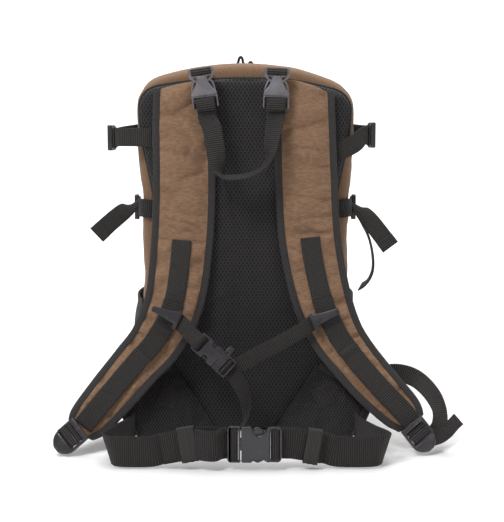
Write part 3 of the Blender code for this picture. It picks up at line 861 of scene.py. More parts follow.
# ============================================================ shoulder straps
LEFT_STRAP = [
    (-78, -120.5, 451), (-78, -120.5, 400), (-77, -120.5, 331), (-80, -121, 255), (-90, -127, 178),
    (-111, -141, 130), (-137, -158, 100), (-167, -178, 66), (-193, -194, 37), (-203, -200, 25),
]
RIGHT_STRAP = [
    (76, -120.5, 451), (76, -120.5, 400), (78, -120.5, 331), (83, -121, 255), (97, -128, 184),
    (114, -141, 140), (134, -154, 111), (163, -171, 78), (194, -188, 48), (206, -197, 34),
]
STRAP_WIDTHS = [74, 78, 80, 80, 77, 71, 66, 62, 54, 38]
STRAP_DEPTHS = [10, 14, 14, 14, 14, 14, 14, 13, 10, 6]
STRAP_FACING = [(0, -1, 0)] * 4 + [(0, -1, 0.1), (0, -1, 0.35)] + [(0, -1, 0.5)] * 4
BINDING = 9.5
STRAPS = (("left", LEFT_STRAP, (254, 112, 52)), ("right", RIGHT_STRAP, (262, 124, 62)))


def strap_profile(width, depth):
    """A padded strap's section, as across and out in mm, from its left edge over its face and
    back under, and which of its columns are binding."""
    half = width / 2
    inner = half - BINDING
    face = [(-half + 0.8, 0.30), (-half + 3.5, 0.42), (-half + 7, 0.45), (-inner - 1.0, 0.44),
            (-inner, 0.36)]
    face += [(-inner + 1.6, 0.55)]
    steps = 14
    for k in range(1, steps):
        t = -1 + 2 * k / steps
        face.append((t * (inner - 1.6), 0.55 + 0.45 * (1 - abs(t) ** 2.4)))
    face += [(-a, b) for a, b in reversed(face[:6])]
    under = [(a, -0.46) for a, _ in reversed(face[::2])]
    section = [(-half, 0.0)] + face + [(half, 0.0)] + under
    columns = []
    for (a, _), (b, _) in zip(section, section[1:] + section[:1]):
        columns.append(1 if abs(a + b) / 2 > inner - 0.4 else 0)
    return [(a, b * depth / 2) for a, b in section], columns


def strap_top(x):
    """The height at which a strap is sewn under the bag's top seam."""
    return 100 + math.sqrt(362 ** 2 - x ** 2) - 4 * ease(x, 55, 125)


def strap_rows(route, spacing):
    """Stations down a strap: distance, point, direction, the way its face looks, and its size."""
    facing = [Vector(f).normalized() for f in STRAP_FACING]
    sizes = [(w, d, 0) for w, d in zip(STRAP_WIDTHS, STRAP_DEPTHS)]
    rows = []
    for s, point, along, look, size in stations(route, spacing, facing, sizes):
        side = along.cross(look).normalized()
        out = side.cross(along).normalized()
        rows.append((s, point, side, out if out.y < 0 else -out, size))
    return rows


def make_shoulder_strap(tag, route, seams):
    rows = strap_rows(route, 3.0)
    marks = [min(rows, key=lambda row: abs(row[1].z - z))[0] for z in seams]
    rings, us, held = [], [], []
    for s, point, side, out, size in rows:
        section, columns = strap_profile(size.x, size.y)
        inner = size.x / 2 - BINDING
        sewn = max(math.exp(-((s - mark) / 2.6) ** 2) for mark in marks)
        ring = []
        for a, b in section:
            on_face = b > 0 and abs(a) < inner - 1
            rise = 0.0
            if on_face:
                t = a / inner
                shift = 4.0 if tag == "left" else 31.0
                pucker = noise.noise(Vector((math.copysign(3, a), s * 0.14, shift)))
                wave = noise.noise(Vector((a * 0.016 + shift, s * 0.042, 2.0)))
                line = crease(a * 0.014 + shift, s * 0.040 + a * 0.008)
                rise = pucker * 3.0 * t * t + wave * 5.5 - line * 3.4 - 4.0 * sewn
                rise *= 1.0 if point.z > 262 else ease(abs(a), 12, 17)
            p = point + side * a + out * (b + rise)
            if p.z > 390:
                p.z += (p.z - 390) / 61 * (strap_top(p.x) - 451)
            ring.append(p)
            under_web = point.z < 262 and abs(a) < 15
            held.append(0.0 if on_face and not under_web and sewn < 0.5 else 1.0)
        rings.append(ring)
        us.append(s)
    vs = [a for a, _ in section] + [section[0][0]]
    strap = skin(f"strap_cloth_{tag}", rings, us, vs, [BROWN, TAPE], columns)
    puff(strap, held, 1.6, 0.035, 12, 2.2)
    refine(strap)
    settle(strap, "pack", "brown_fabric", f"shoulder_strap_{tag}")
    runs = []
    for edge in (-1, 1):
        line = []
        for _, point, side, out, size in rows[4:-2]:
            p = point + side * edge * (size.x / 2 - BINDING + 2.2) + out * (size.y * 0.225)
            if p.z > 390:
                p.z += (p.z - 390) / 61 * (strap_top(p.x) - 451)
            line.append(p)
        runs.append((line[::3], TOWARDS_WEARER))
    settle(stitches(f"strap_stitches_{tag}", runs, DARK_THREAD), "pack", "black_webbing")


def strap_run(route, high, low, rise, bow=0.0):
    """A run down a strap's face between two heights, lifted off it, with the way it looks."""
    rows = [row for row in strap_rows(route, 4.0) if low < row[1].z < high]
    points = []
    for k, (_, point, _, out, size) in enumerate(rows):
        t = k / (len(rows) - 1)
        lift = size.y / 2 + rise + bow * math.sin(math.pi * t)
        points.append(point + out * lift)
    return points, [row[3] for row in rows]


def make_strap_webbing(tag, route):
    """The waffle strip sewn down the strap, the run that the chest strap slides on, and the
    longer webbing that goes down to the lock."""
    top, clip_top, stitched = (255, 176, 108) if tag == "left" else (262, 182, 116)
    points, looks = strap_run(route, top, clip_top - 3, 1.2)
    web = ribbon(f"waffle_strip_{tag}", points, 25, WAFFLE, facing=looks, depth=1.8)
    settle(web, "pack", "black_webbing")
    points, looks = strap_run(route, clip_top + 2, stitched - 2, 1.9, bow=2.2)
    web = ribbon(f"chest_run_{tag}", points, 26.5, WEB, facing=looks, depth=1.6)
    settle(web, "pack", "black_webbing")
    points, looks = strap_run(route, stitched + 3, 30, 2.4, bow=1.0)
    # The top end is folded under: it is tucked in, and then stands up over the fold.
    for k, lift in enumerate((-1.6, 2.4, 1.4)):
        points[k] = points[k] + looks[k] * lift
    web = ribbon(f"lower_run_{tag}", points, 26, WEB, facing=looks, depth=1.6)
    settle(web, "pack", "black_webbing", f"strap_webbing_{tag}")


# ============================================================ haul strap
HAUL_Y = -136.0
HAUL_Z = 469.0
HAUL_SIDES = (("left", -55.0, Vector((0.15, -0.05, -1))), ("right", 40.5, Vector((-0.04, -0.05, -1))))


def haul_plug(tag, seat):
    """The upper half: a frame whose shoulders draw in to a stem between two spring prongs."""
    sides = [(0, 13.4), (0.8, 15.0), (2.4, 15.7), (9.4, 15.7), (11.8, 14.8), (15.0, 11.6), (17.5, 8.6)]
    body = plate("plug", even(sides), -2.1, 2.1)
    window(body, 2.4, 9.4, -13.1, 13.1, 1.2)
    for sign in (-1, 1):
        gap = [(10.8, 6.9, 12.4), (13.0, 6.7, 10.4), (15.0, 6.6, 8.0)]
        gap = [(x, *sorted((a * sign, b * sign))) for x, a, b in gap]
        cut_out(body, plate("gap", gap, -10, 10))
    round_edges(body, 0.8)
    pieces = [body]
    for sign in (-1, 1):
        arm = [(14.5, 7.6, 10.6), (17, 9.4, 12.2), (20, 11.2, 13.6), (24, 12.6, 14.8), (28, 13.2, 15.2),
               (30.5, 12.8, 14.6)]
        arm = [(x, *sorted((a * sign, b * sign))) for x, a, b in arm]
        pieces.append(round_edges(plate("prong", arm, -1.8, 1.8), 0.7))
    return fitted(f"haul_plug_{tag}", pieces, seat, REFLECTION_PAINTED_PLASTIC)


def haul_socket(tag, seat):
    """The lower half: a flat trapezium that flares to two side rails with a bar between them."""
    sides = [(10.2, 5.0), (14, 6.0), (18, 7.5), (22, 9.5), (26, 12.0), (29.5, 15.0), (31.5, 16.1),
             (34.4, 16.2)]
    shell = plate("shell", even(sides), -3.8, 4.0)
    round_edges(shell, 1.5, 4)
    rails = block("rails", (33.2, -16.1, -2.2), (50, 16.1, 2.2), 1.5)
    window(rails, 36.6, 60, -14.0, 14.0, 1.0)
    bar = block("bar", (38.6, -15, -1.8), (41.8, 15, 1.8), 0.8)
    pieces = [shell, round_edges(rails, 0.9), round_edges(bar, 0.7)]
    return fitted(f"haul_socket_{tag}", pieces, seat, REFLECTION_PAINTED_PLASTIC)


def make_haul_strap():
    ends = {}
    for tag, x, down in HAUL_SIDES:
        along = down.normalized()
        seat = placed(Vector((x, HAUL_Y, HAUL_Z)) - along * 1.5, down, TOWARDS_WEARER)
        settle(haul_plug(tag, seat), "haul_plugs", "black_plastic", f"haul_buckle_{tag}_plug")
        settle(haul_socket(tag, seat), "haul_strap", "black_plastic", f"haul_buckle_{tag}_socket")
        across = seat.to_3x3() @ Vector((0, 1, 0))
        loop = [(3, 0, -38), (2.6, 0, -24), (2.0, 0, -12), (0.9, 0, -4.5), (0.9, 0, 0.8), (2.8, 0, 3.9),
                (5.8, 0, 4.2), (8.2, 0, 2.2), (8.4, 0, -1.6), (6.8, 0, -5), (5.6, 0, -12), (5.4, 0, -20)]
        web = ribbon(f"anchor_{tag}", local(seat, loop), 24.5, WEB, across=across, spacing=1.0)
        settle(web, "pack", "black_webbing", f"haul_loop_{tag}")
        fold = [(53, 0, 3.0), (49, 0, 4.0), (44, 0, 4.6), (39.5, 0, 3.9), (37.4, 0, 0.4), (39, 0, -3.2),
                (44, 0, -3.6), (52, 0, -2.2), (63, 0, -1.0)]
        ends[tag] = (local(seat, fold), across)
    left, left_across = ends["left"]
    right, right_across = ends["right"]
    middle = [(-40, -144, 394), (-36, -146, 368), (-33, -147, 347), (-27, -148, 337), (-14, -149, 335.5),
              (4, -149, 338), (19, -149, 345), (29, -148, 357), (33, -147, 378)]
    across = [left_across] * 9 + [Vector((1, 0, 0))] + [Vector((1, 0.1, 0)), Vector((0.8, 0.6, 0))]
    across += [Vector((0, 1, 0.22))] * 4 + [Vector((-0.3, 1, 0.1)), Vector((-0.8, 0.7, 0)),
                                            Vector((-1, 0.3, 0))]
    across += [-right_across] * 8
    web = ribbon("haul_web", left + middle + right[::-1], HAUL_WEB, WEB, across=across, spacing=1.4)
    settle(web, "haul_strap", "black_webbing", "haul_webbing")


# ============================================================ chest strap
CHEST_ALONG = Vector((0.735, -0.084, -0.672))
CHEST_START = Vector((-18, -180, 98))
CHEST_FACING = (0, -1, 0.25)
CHEST_CLIPS = (
    ("left", (-85, -156.5, 157), (-0.91, 0, 0.41), -1), ("right", (87, -154.5, 153.5), (0.91, 0, 0.41), 1),
)


def chest_clip(tag, place, along, up):
    """A tapered arm over the strap's webbing, with the crossbar that the chest strap loops on."""
    cross = round_edges(block("cross", (-2.6, -12.5, -2.2), (2.4, 12.5, 2.2), 1.6), 1.1)
    arm = [(1, -6.5, 10.5), (6, -5.6, 9.2), (14, -4.4, 7.6), (24, -3.2, 6.2), (33, -2.6, 5.0),
           (35, -1.8, 4.2)]
    arm = [(x, *sorted((a * up, b * up))) for x, a, b in arm]
    arm = round_edges(plate("arm", arm, -1.6, 2.6), 1.2)
    return fitted(f"clip_{tag}", [cross, arm], placed(place, along, (0, -1, 0.3)), PLASTIC)


def chest_plug(seat):
    """The plug, with a whistle moulded into its side and a bar for the webbing."""
    body = plate("body", even([(0, 10.6), (0.8, 12.2), (2.5, 12.9), (21, 12.9)]), -2.3, 3.0)
    window(body, 2.6, 10.8, -10.6, 10.6, 1.4)
    whistle = block("whistle", (13.4, -22.5, -2.2), (20.6, -10, 3.4), 1.6)
    window(whistle, 15.2, 18.6, -14.6, -11.4, 1.4)
    bar = block("bar", (5.4, -11.5, -1.6), (7.8, 11.5, 1.6), 0.6)
    tongue = block("tongue", (20, -7, -1.2), (36, 7, 1.2), 1.0)
    pieces = [round_edges(body, 0.9), round_edges(whistle, 0.8), round_edges(bar, 0.6),
              round_edges(tongue, 0.5)]
    for sign in (-1, 1):
        arm = [(20, 8.2, 11.2), (28, 7.8, 10.6), (35, 8.6, 11.6), (39, 8.0, 10.6)]
        arm = [(x, *sorted((a * sign, b * sign))) for x, a, b in arm]
        pieces.append(round_edges(plate("prong", arm, -1.6, 1.6), 0.6))
    return fitted("chest_plug", pieces, seat, PLASTIC)


def chest_socket(seat):
    sides = [(21.3, 12.9), (29, 12.9), (31, 12.2), (34.5, 11.4), (38, 12.2), (40, 12.9), (54.5, 12.9),
             (56.2, 11.6)]
    body = plate("body", even(sides), -3.4, 3.8)
    window(body, 44.4, 52.8, -10.6, 10.6, 1.2)
    for sign in (-1, 1):
        y0, y1 = sorted((7.0 * sign, 16 * sign))
        window(body, 30.6, 38.4, y0, y1, 2.6)
    return fitted("chest_socket", [round_edges(body, 1.0)], seat, PLASTIC)


def make_chest_strap():
    seat = placed(CHEST_START, -CHEST_ALONG, CHEST_FACING)
    across = seat.to_3x3() @ Vector((0, 1, 0))
    settle(chest_plug(seat), "sternum_plug", "black_plastic", "sternum_buckle_plug")
    settle(chest_socket(seat), "pack", "black_plastic", "sternum_buckle_socket")
    for tag, place, along, up in CHEST_CLIPS:
        settle(chest_clip(tag, place, along, up), "pack", "black_plastic", f"sternum_clip_{tag}")
    fold = local(seat, [(66, 0, -3.6), (59, 0, -4.4), (53.6, 0, -4.6), (49.6, 0, -2.2), (48.8, 0, 1.5),
                        (51, 0, 4.9), (56, 0, 5.6), (63, 0, 2.6), (72, 0, 0.2)])
    start = [(-86, -151, 157), (-82, -153, 154.5), (-76, -158.5, 149.5), (-68, -166, 142)]
    web = ribbon("chest_web_left", start + fold, CHEST_WEB, WEB, across=across, spacing=1.4)
    settle(web, "pack", "black_webbing", "sternum_webbing_left")
    route = [(88, -149.5, 154), (84, -151.5, 152), (77, -156.5, 148), (64, -163.5, 141), (39, -170, 128),
             (16, -175, 117), (0, -177, 108), (-10, -176, 103.5), (-20, -172, 100)]
    web = ribbon("chest_web_right", route, CHEST_WEB, WEB, across=(-0.42, 0, 0.9), spacing=1.4)
    settle(web, None, "black_webbing", "sternum_webbing_right")
    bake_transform(web)
    wrap = [(-3, 0, -3.4), (3.0, 0, -3.6), (4.0, 0, 0.6), (6.6, 0, 3.4), (9.2, 0, 0.8), (9.6, 0, -3.2),
            (4, 0, -4.4)]
    web = ribbon("chest_wrap", local(seat, wrap), CHEST_WEB, WEB, across=across, spacing=0.9)
    settle(web, "sternum_plug", "black_webbing")
    tail = [(-14, -176, 96), (-9, -177, 86), (-2, -177, 71), (2, -174, 54), (2, -168, 38), (-3, -161, 22)]
    looks = [(0.2, -1, 0.2), (0.4, -1, 0.1), (0.8, -1, 0), (1, -0.8, 0), (1, -0.5, 0), (1, -0.6, 0)]
    web = ribbon("chest_tail", tail, CHEST_WEB, WEB, facing=looks, spacing=1.4)
    settle(web, "sternum_plug", "black_webbing", "sternum_tail")


# ============================================================ hip belt
BELT_Y = -272.0
BELT_Z = 31.5
BELT_WEB_Y = -265.5
KEEPER_SLOPE = 0.17
FIN = [
    ((38, -116.5, 6), (92, -116, 92), 8), ((60, -125, 6), (109, -124, 84), 13),
    ((82, -136, 5.5), (124, -131, 76), 15), ((106, -149, 5), (137, -141, 67), 14),
    ((121, -158, 5), (149, -149, 60), 11), ((135, -165, 6), (157, -157, 52), 6),
]


def hit(obj, x, z):
    """The point and the way out on obj straight behind (x, z), seen from the wearer's side."""
    found, place, normal, _ = obj.ray_cast(Vector((x, -400, z)) * MM, Vector((0, 1, 0)))
    return (place / MM, normal) if found else (Vector((x, -140, z)), TOWARDS_WEARER)


def sewn_patch(name, obj, x, z, size, turn):
    """A square of webbing laid on obj, with a box and cross of stitches."""
    parts = 10
    grid = {}
    for i in range(parts + 1):
        for j in range(parts + 1):
            a, b = (i / parts - 0.5) * size, (j / parts - 0.5) * size
            right = x + a * math.cos(turn) - b * math.sin(turn)
            up = z + a * math.sin(turn) + b * math.cos(turn)
            p, out = hit(obj, right, up)
            rim = i in (0, parts) or j in (0, parts)
            cross = min(abs(i - j), abs(i + j - parts)) == 0
            grid[i, j] = p + out * (0.2 if rim else 1.1 if cross else 2.2)
    verts = [tuple(grid[i, j] * MM) for i in range(parts + 1) for j in range(parts + 1)]
    row = parts + 1
    faces = [(i * row + j, i * row + j + 1, (i + 1) * row + j + 1, (i + 1) * row + j)
             for i in range(parts) for j in range(parts)]
    mesh = bpy.data.meshes.new(name)
    mesh.from_pydata(verts, [], faces)
    layer = mesh.uv_layers.new(name="UVMap")
    for loop in mesh.loops:
        i, j = divmod(loop.vertex_index, row)
        layer.data[loop.index].uv = (i * size / parts * MM, j * size / parts * MM)
    patch = link(name, mesh, [WEB])
    wall = patch.modifiers.new("wall", "SOLIDIFY")
    wall.thickness = 1.5 * MM
    wall.offset = 1
    apply_all(patch)
    pick(patch, lambda face: True, "FACE")
    bpy.ops.mesh.normals_make_consistent(inside=False)
    bpy.ops.object.mode_set(mode="OBJECT")
    refine(patch)
    runs = []
    near, far = 1, parts - 1
    corners = [(near, near), (far, near), (far, far), (near, far)]
    lines = list(zip(corners, corners[1:] + corners[:1])) + [(corners[0], corners[2]),
                                                             (corners[1], corners[3])]
    for (i0, j0), (i1, j1) in lines:
        line = []
        for t in range(5):
            place = round(i0 + (i1 - i0) * t / 4), round(j0 + (j1 - j0) * t / 4)
            line.append(grid[place] + TOWARDS_WEARER)
        runs.append((line, TOWARDS_WEARER))
    return patch, stitches(name + "_stitches", runs, DARK_THREAD, pitch=2.6, length=1.8)


def make_fin(tag, side):
    """A padded wing with mesh on the wearer's face, a bound edge and a sewn box."""
    lows = smooth([Vector(s[0]) for s in FIN], 8)
    highs = smooth([Vector(s[1]) for s in FIN], 8)
    depths = smooth([Vector((s[2], 0, 0)) for s in FIN], 8)
    out = Vector((-0.35, -1, 0)).normalized()
    rings, us, held = [], [], []
    parts = 20
    for k, (low, high, depth) in enumerate(zip(lows, highs, depths)):
        ring = []
        for sign in (1, -1):
            for i in range(parts + 1):
                t = i / parts if sign > 0 else 1 - i / parts
                bulge = 0.2 + 0.8 * (1 - abs(2 * t - 1) ** 3)
                p = low.lerp(high, t) + out * sign * bulge * depth.x / 2
                p += out * folds(p, 12, 12, 3.0 * side) * 1.6 * bulge
                ring.append(Vector((side * p.x, p.y, max(p.z, 2.5))))
                held.append(1.0 if sign < 0 or t < 0.08 or t > 0.92 else 0.0)
        rings.append(ring)
        us.append(k * 3.2)
    fin = skin(f"fin_mesh_{tag}", rings, us, [4 * i for i in range(len(rings[0]) + 1)], [FIN_MESH])
    puff(fin, held, 2.5, 0.05, 12, 4.0)
    refine(fin)
    apply_all(fin)
    settle(fin, "pack", "black_mesh", f"hip_fin_{tag}")
    edge = [Vector((side * p.x, p.y - 1.5, p.z)) for p in highs[2:]]
    end = [highs[-1].lerp(lows[-1], t) for t in (0.3, 0.6, 0.9)]
    edge += [Vector((side * (p.x + 1.5), p.y - 1.0, p.z)) for p in end]
    binding = ribbon(f"fin_binding_{tag}", edge, 9, TAPE, facing=(0.35 * side, -1, 0), depth=6, parts=6)
    settle(binding, "pack", "black_webbing")
    place = (-99, 55) if side < 0 else (101, 55)
    patch, rows = sewn_patch(f"fin_patch_{tag}", fin, place[0], place[1], 25, math.radians(28 * side))
    settle(patch, "pack", "black_webbing")
    settle(rows, "pack", "black_webbing")


def belt_route(side, bend_x, inner_x, wave):
    low = 20.8
    path = [
        (139, -166, low + 2), (148, -192, low), (158, -222, low), (bend_x, -246, low),
        (bend_x - 4, -259, low), (bend_x - 18, BELT_WEB_Y - 0.5, low),
    ]
    for (x, z), stand in zip(((112, 20.9), (98, 23.6), (84, 26.6), (70, 29.2)), wave):
        path.append((x, BELT_WEB_Y + 1.2 + stand, z))
    path += [(56, BELT_WEB_Y + 1.2, BELT_Z), (inner_x, BELT_WEB_Y + 1.2, BELT_Z)]
    facing = [(1, -0.3, 0), (1, -0.3, 0), (1, -0.3, -0.1), (1, -0.1, -0.3), (0.7, -0.7, -0.2), (0.1, -1, 0)]
    facing += [(0, -1, 0)] * (len(path) - len(facing))
    return [(side * x, y, z) for x, y, z in path], [(side * x, y, z) for x, y, z in facing]


def belt_plug(seat):
    """The plug: a frame for the webbing, a bar, and two prongs with finger pads."""
    sides = [(0, 17.4), (0.8, 19.6), (2.4, 21.2), (4.5, 21.8), (14.4, 21.8), (15.8, 20.6)]
    body = plate("frame", even(sides), -2.4, 2.4)
    window(body, 2.6, 20, -19.0, 19.0, 1.8)
    bar = block("bar", (6.6, -20, -1.8), (9.6, 20, 1.8), 0.8)
    stem = block("stem", (13.6, -7.5, -1.6), (40, 7.5, 1.6), 1.2)
    yoke = block("yoke", (13.2, -20.6, -1.8), (15.4, 20.6, 1.8), 0.6)
    upper = plate("upper", [(27, 6, 12), (30.5, 6, 18.5), (33.5, 6, 20.2), (37.5, 6, 19.8),
                            (41, 6, 17.4), (44, 6, 13)], -2.6, 0.6)
    lower = plate("lower", [(27, -16, -8), (30.5, -20.2, -8), (35.5, -22.4, -8), (41, -20.2, -8),
                            (45, -16, -8)], -2.6, 1.8)
    pieces = [round_edges(p, 0.8) for p in (body, bar, stem, yoke)]
    pieces += [round_edges(p, 1.2) for p in (upper, lower)]
    return fitted("belt_plug", pieces, seat, PLASTIC)


def belt_socket(seat):
    """The socket: a smooth flat shell with a deep scoop over each finger pad."""
    sides = [
        (16.6, -21.4, 21.2), (26.5, -21.5, 21.5), (28.6, -21.0, 21.0), (30.0, -19.6, 17.5),
        (31.6, -18.4, 14.0), (34.0, -17.3, 11.2), (37.0, -17.0, 10.4), (40.5, -17.6, 12.0),
        (44.0, -19.4, 15.4), (47.0, -21.0, 18.6),
        (49.4, -21.5, 20.2),
    ]
    shell = round_edges(plate("shell", sides, -4.2, 4.2), 1.5, 4)
    body = plate("frame", even([(47.6, 20.8), (59, 21.2), (61.4, 20.2), (63.2, 17.6), (63.8, 14.5)]),
                 -2.4, 2.6)
    window(body, 50.4, 61.4, -18.6, 18.6, 1.6)
    bar = block("bar", (54.2, -19.6, -1.8), (57.2, 19.6, 1.8), 0.8)
    pieces = [shell, round_edges(body, 1.0), round_edges(bar, 0.7)]
    return fitted("belt_socket", pieces, seat, PLASTIC)


def make_belt():
    make_fin("left", -1)
    make_fin("right", 1)
    seat = placed((-20, BELT_Y, BELT_Z), (1, 0, 0), TOWARDS_WEARER)
    settle(belt_plug(seat), "belt_plug", "black_plastic", "belt_buckle_plug")
    settle(belt_socket(seat), "pack", "black_plastic", "belt_buckle_socket")
    up = Vector((0, 0, 1))
    route, facing = belt_route(-1, 163, 30, (-2.5, -1, 0.5, 0))
    web = ribbon("belt_web_left", route, BELT_WEB, BELT, facing=facing)
    settle(web, None, "black_webbing", "belt_webbing_left")
    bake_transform(web)
    tail = [(-97, -268.3, 24.2), (-86, -268.6, 26.2), (-70, -269.2, 29), (-58, -271.5, 30.8),
            (-48, -276, 31),
            (-39, -279.4, 31), (-32.5, -278.4, 31.2), (-28.6, -274.4, BELT_Z), (-25.6, -270.2, BELT_Z),
            (-20, -268.2, BELT_Z), (-13, -268.0, BELT_Z), (-9.2, -269.4, BELT_Z), (-7.9, -272.2, BELT_Z),
            (-9.6, -275.0, BELT_Z), (-12.4, -275.6, BELT_Z), (-15.2, -274.0, BELT_Z), (-15.8, -271, BELT_Z),
            (-16.6, -267.4, BELT_Z), (-21, -266.2, BELT_Z), (-30, -266.2, BELT_Z)]
    web = ribbon("belt_tail", tail, BELT_WEB, BELT, across=up, spacing=1.4)
    settle(web, None, "black_webbing")
    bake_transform(web)
    route, facing = belt_route(1, 168, 44, (-2.5, 0, 0, 0))
    web = ribbon("belt_web_right", route, BELT_WEB, BELT, facing=facing)
    settle(web, "pack", "black_webbing", "belt_webbing_right")
    wrap = [(50, -266.4, BELT_Z), (42, -266.6, BELT_Z), (40.4, -270, BELT_Z), (39.9, -273.6, BELT_Z),
            (37, -275.8, BELT_Z), (33.4, -275.2, BELT_Z), (31.4, -272.2, BELT_Z), (32.8, -269.2, BELT_Z),
            (37, -268.0, BELT_Z), (45, -268.0, BELT_Z), (58, -268.6, BELT_Z - 0.4), (74, -268.6, BELT_Z - 3),
            (92, -268.4, BELT_Z - 6)]
    web = ribbon("belt_wrap", wrap, BELT_WEB, BELT, across=up, spacing=1.4)
    settle(web, "pack", "black_webbing")
    make_keeper("left", -66.0, 20)
    make_keeper("right", 80.0, 17)


def make_keeper(tag, x, length):
    """A smooth elastic loop round both layers of the belt."""
    z = BELT_Z - (abs(x) - 56) * KEEPER_SLOPE
    side = math.copysign(1, x)
    seat = placed((x, BELT_WEB_Y - 1.4, z), (side, 0, -KEEPER_SLOPE), (0, -1, 0))
    half = BELT_WEB / 2 + 2.4
    loop = rounded([(-half, -5.6), (half, -5.6), (half, 5.6), (-half, 5.6)], 3.0, 4)
    rings, us = [], []
    for k in range(9):
        u = -length / 2 + length * k / 8
        flare = 1.0 + 0.015 * math.cos(k * 2.1)
        rings.append([tuple(p / MM) for p in (seat @ (Vector((u, a * flare, b)) * MM) for a, b in loop)])
        us.append(u)
    band = skin(f"keeper_{tag}", rings, us, [4 * i for i in range(len(loop) + 1)], [TAPE], caps=False)
    wall = band.modifiers.new("wall", "SOLIDIFY")
    wall.thickness = 0.9 * MM
    wall.offset = -1
    apply_all(band)
    settle(band, f"belt_keeper_{tag}", "black_webbing", f"belt_keeper_{tag}")


# ============================================================ ladder locks
def make_lock(tag, node, body, origin, along, facing):
    """A lock with a thick top bar, two windows and a rounded grip, and the webbing through it."""
    seat = placed(origin, along, facing)
    sides = [(-1, 15.6), (1, 16.4), (21, 16.4), (25, 15.8), (29, 14.2), (32.5, 11.6), (35.4, 8.0),
             (37.4, 4.0)]
    body_plate = plate("plate", even(sides), -2.0, 2.0)
    window(body_plate, 3.2, 10.6, -13.2, 13.2, 1.2)
    window(body_plate, 13.0, 20.6, -13.2, 13.2, 1.2)
    round_edges(body_plate, 1.0)
    bar = round_edges(block("bar", (-3.2, -16.3, -2.4), (2.8, 16.3, 4.0), 1.6), 1.1)
    pieces = [body_plate, bar]
    for sign in (-1, 1):
        y0, y1 = sorted((13.4 * sign, 16.5 * sign))
        pieces.append(round_edges(block("rail", (0, y0, -2), (22, y1, 3.2), 0.8), 0.8))
    grip = [(22, 15.4), (26, 14.9), (29.5, 13.2), (32.8, 10.6), (35.2, 7.2)]
    pieces.append(round_edges(plate("grip", even(grip), -2.2, 3.0), 1.2))
    settle(fitted(f"{tag}_lock", pieces, seat, PLASTIC), body, "black_plastic", node)
    across = seat.to_3x3() @ Vector((0, 1, 0))
    thread_route = [(-2, 0, -3.6), (2.4, 0, -3.2), (4.2, 0, 0.4), (6.6, 0, 2.2), (9.2, 0, 1.2),
                    (10.8, 0, -1.6), (12.2, 0, 1.0), (14.2, 0, 2.7), (17.2, 0, 2.6), (19.6, 0, 0.6),
                    (20.6, 0, -2.6), (25, 0, -3.6)]
    web = ribbon(f"{tag}_threading", local(seat, thread_route), 26, WEB, across=across, spacing=1.1)
    settle(web, body, "black_webbing")


def make_strap_locks():
    node = "strap_lock_left"
    make_lock("strap_left", node, node, (-202, -210, 31.5), (-0.76, -0.1, -0.66), (-0.1, -1, 0.5))
    node = "strap_lock_right"
    make_lock("strap_right", node, node, (204.5, -209, 36), (0.62, -0.1, -0.78), (0.1, -1, 0.4))


def make_adjusters():
    flat = (0, -1, 0.2)
    route = [(150, -92, 56), (172, -101, 71), (196, -114, 80), (219, -133, 77), (236, -155, 63),
             (244, -172, 45), (242, -186, 29), (235, -195, 20)]
    looks = [flat, flat, flat, (0.2, -1, 0.2), (0.3, -1, 0.2), (0.5, -1, 0.2), (0.5, -1, 0.4),
             (0.3, -1, 0.6)]
    web = ribbon("adjuster_web_right", route, HAUL_WEB, WEB, facing=looks)
    settle(web, "pack", "black_webbing", "adjuster_webbing_right")
    route = [(228, -200, 14), (236, -203, 18), (243, -205, 24), (250, -206, 31), (257, -205, 38),
             (262, -204, 43)]
    web = ribbon("adjuster_tail", route, HAUL_WEB, WEB, facing=(-0.3, -0.6, -0.7), depth=[1.5] * 5 + [3])
    settle(web, "pack", "black_webbing", "adjuster_tail_right")
    route = [(-150, -92, 52), (-160, -112, 57), (-172, -134, 54), (-184, -156, 45), (-195, -176, 32),
             (-203, -188, 20)]
    web = ribbon("adjuster_web_left", route, HAUL_WEB, WEB, facing=(0.3, -1, 0.2))
    settle(web, "pack", "black_webbing", "adjuster_webbing_left")


# ============================================================ compression straps and pockets
def tail_with_tab(name, route, looks, node):
    """A webbing tail that ends in a folded and stitched tab."""
    web = ribbon(name, route, HAUL_WEB, WEB, facing=looks)
    end, before = Vector(route[-1]), Vector(route[-2])
    back = (before - end).normalized()
    look = Vector(looks[-1]).normalized()
    tab = [end - back * 0.6 + look * 1.0, end + back * 6 + look * 1.7, end + back * 13 + look * 1.5]
    fold = ribbon(name + "_tab", tab, HAUL_WEB + 0.6, WEB, facing=[look] * 3, depth=2.2)
    side = back.cross(look).normalized() * (HAUL_WEB / 2 - 2)
    line = [end + back * 10.5 + look * 2.7 - side, end + back * 10.5 + look * 2.7 + side]
    rows = stitches(name + "_stitches", [(line, look)], DARK_THREAD, pitch=2.4, length=1.7)
    settle(web, "pack", "black_webbing", node)
    settle(fold, "pack", "black_webbing")
    settle(rows, "pack", "black_webbing")


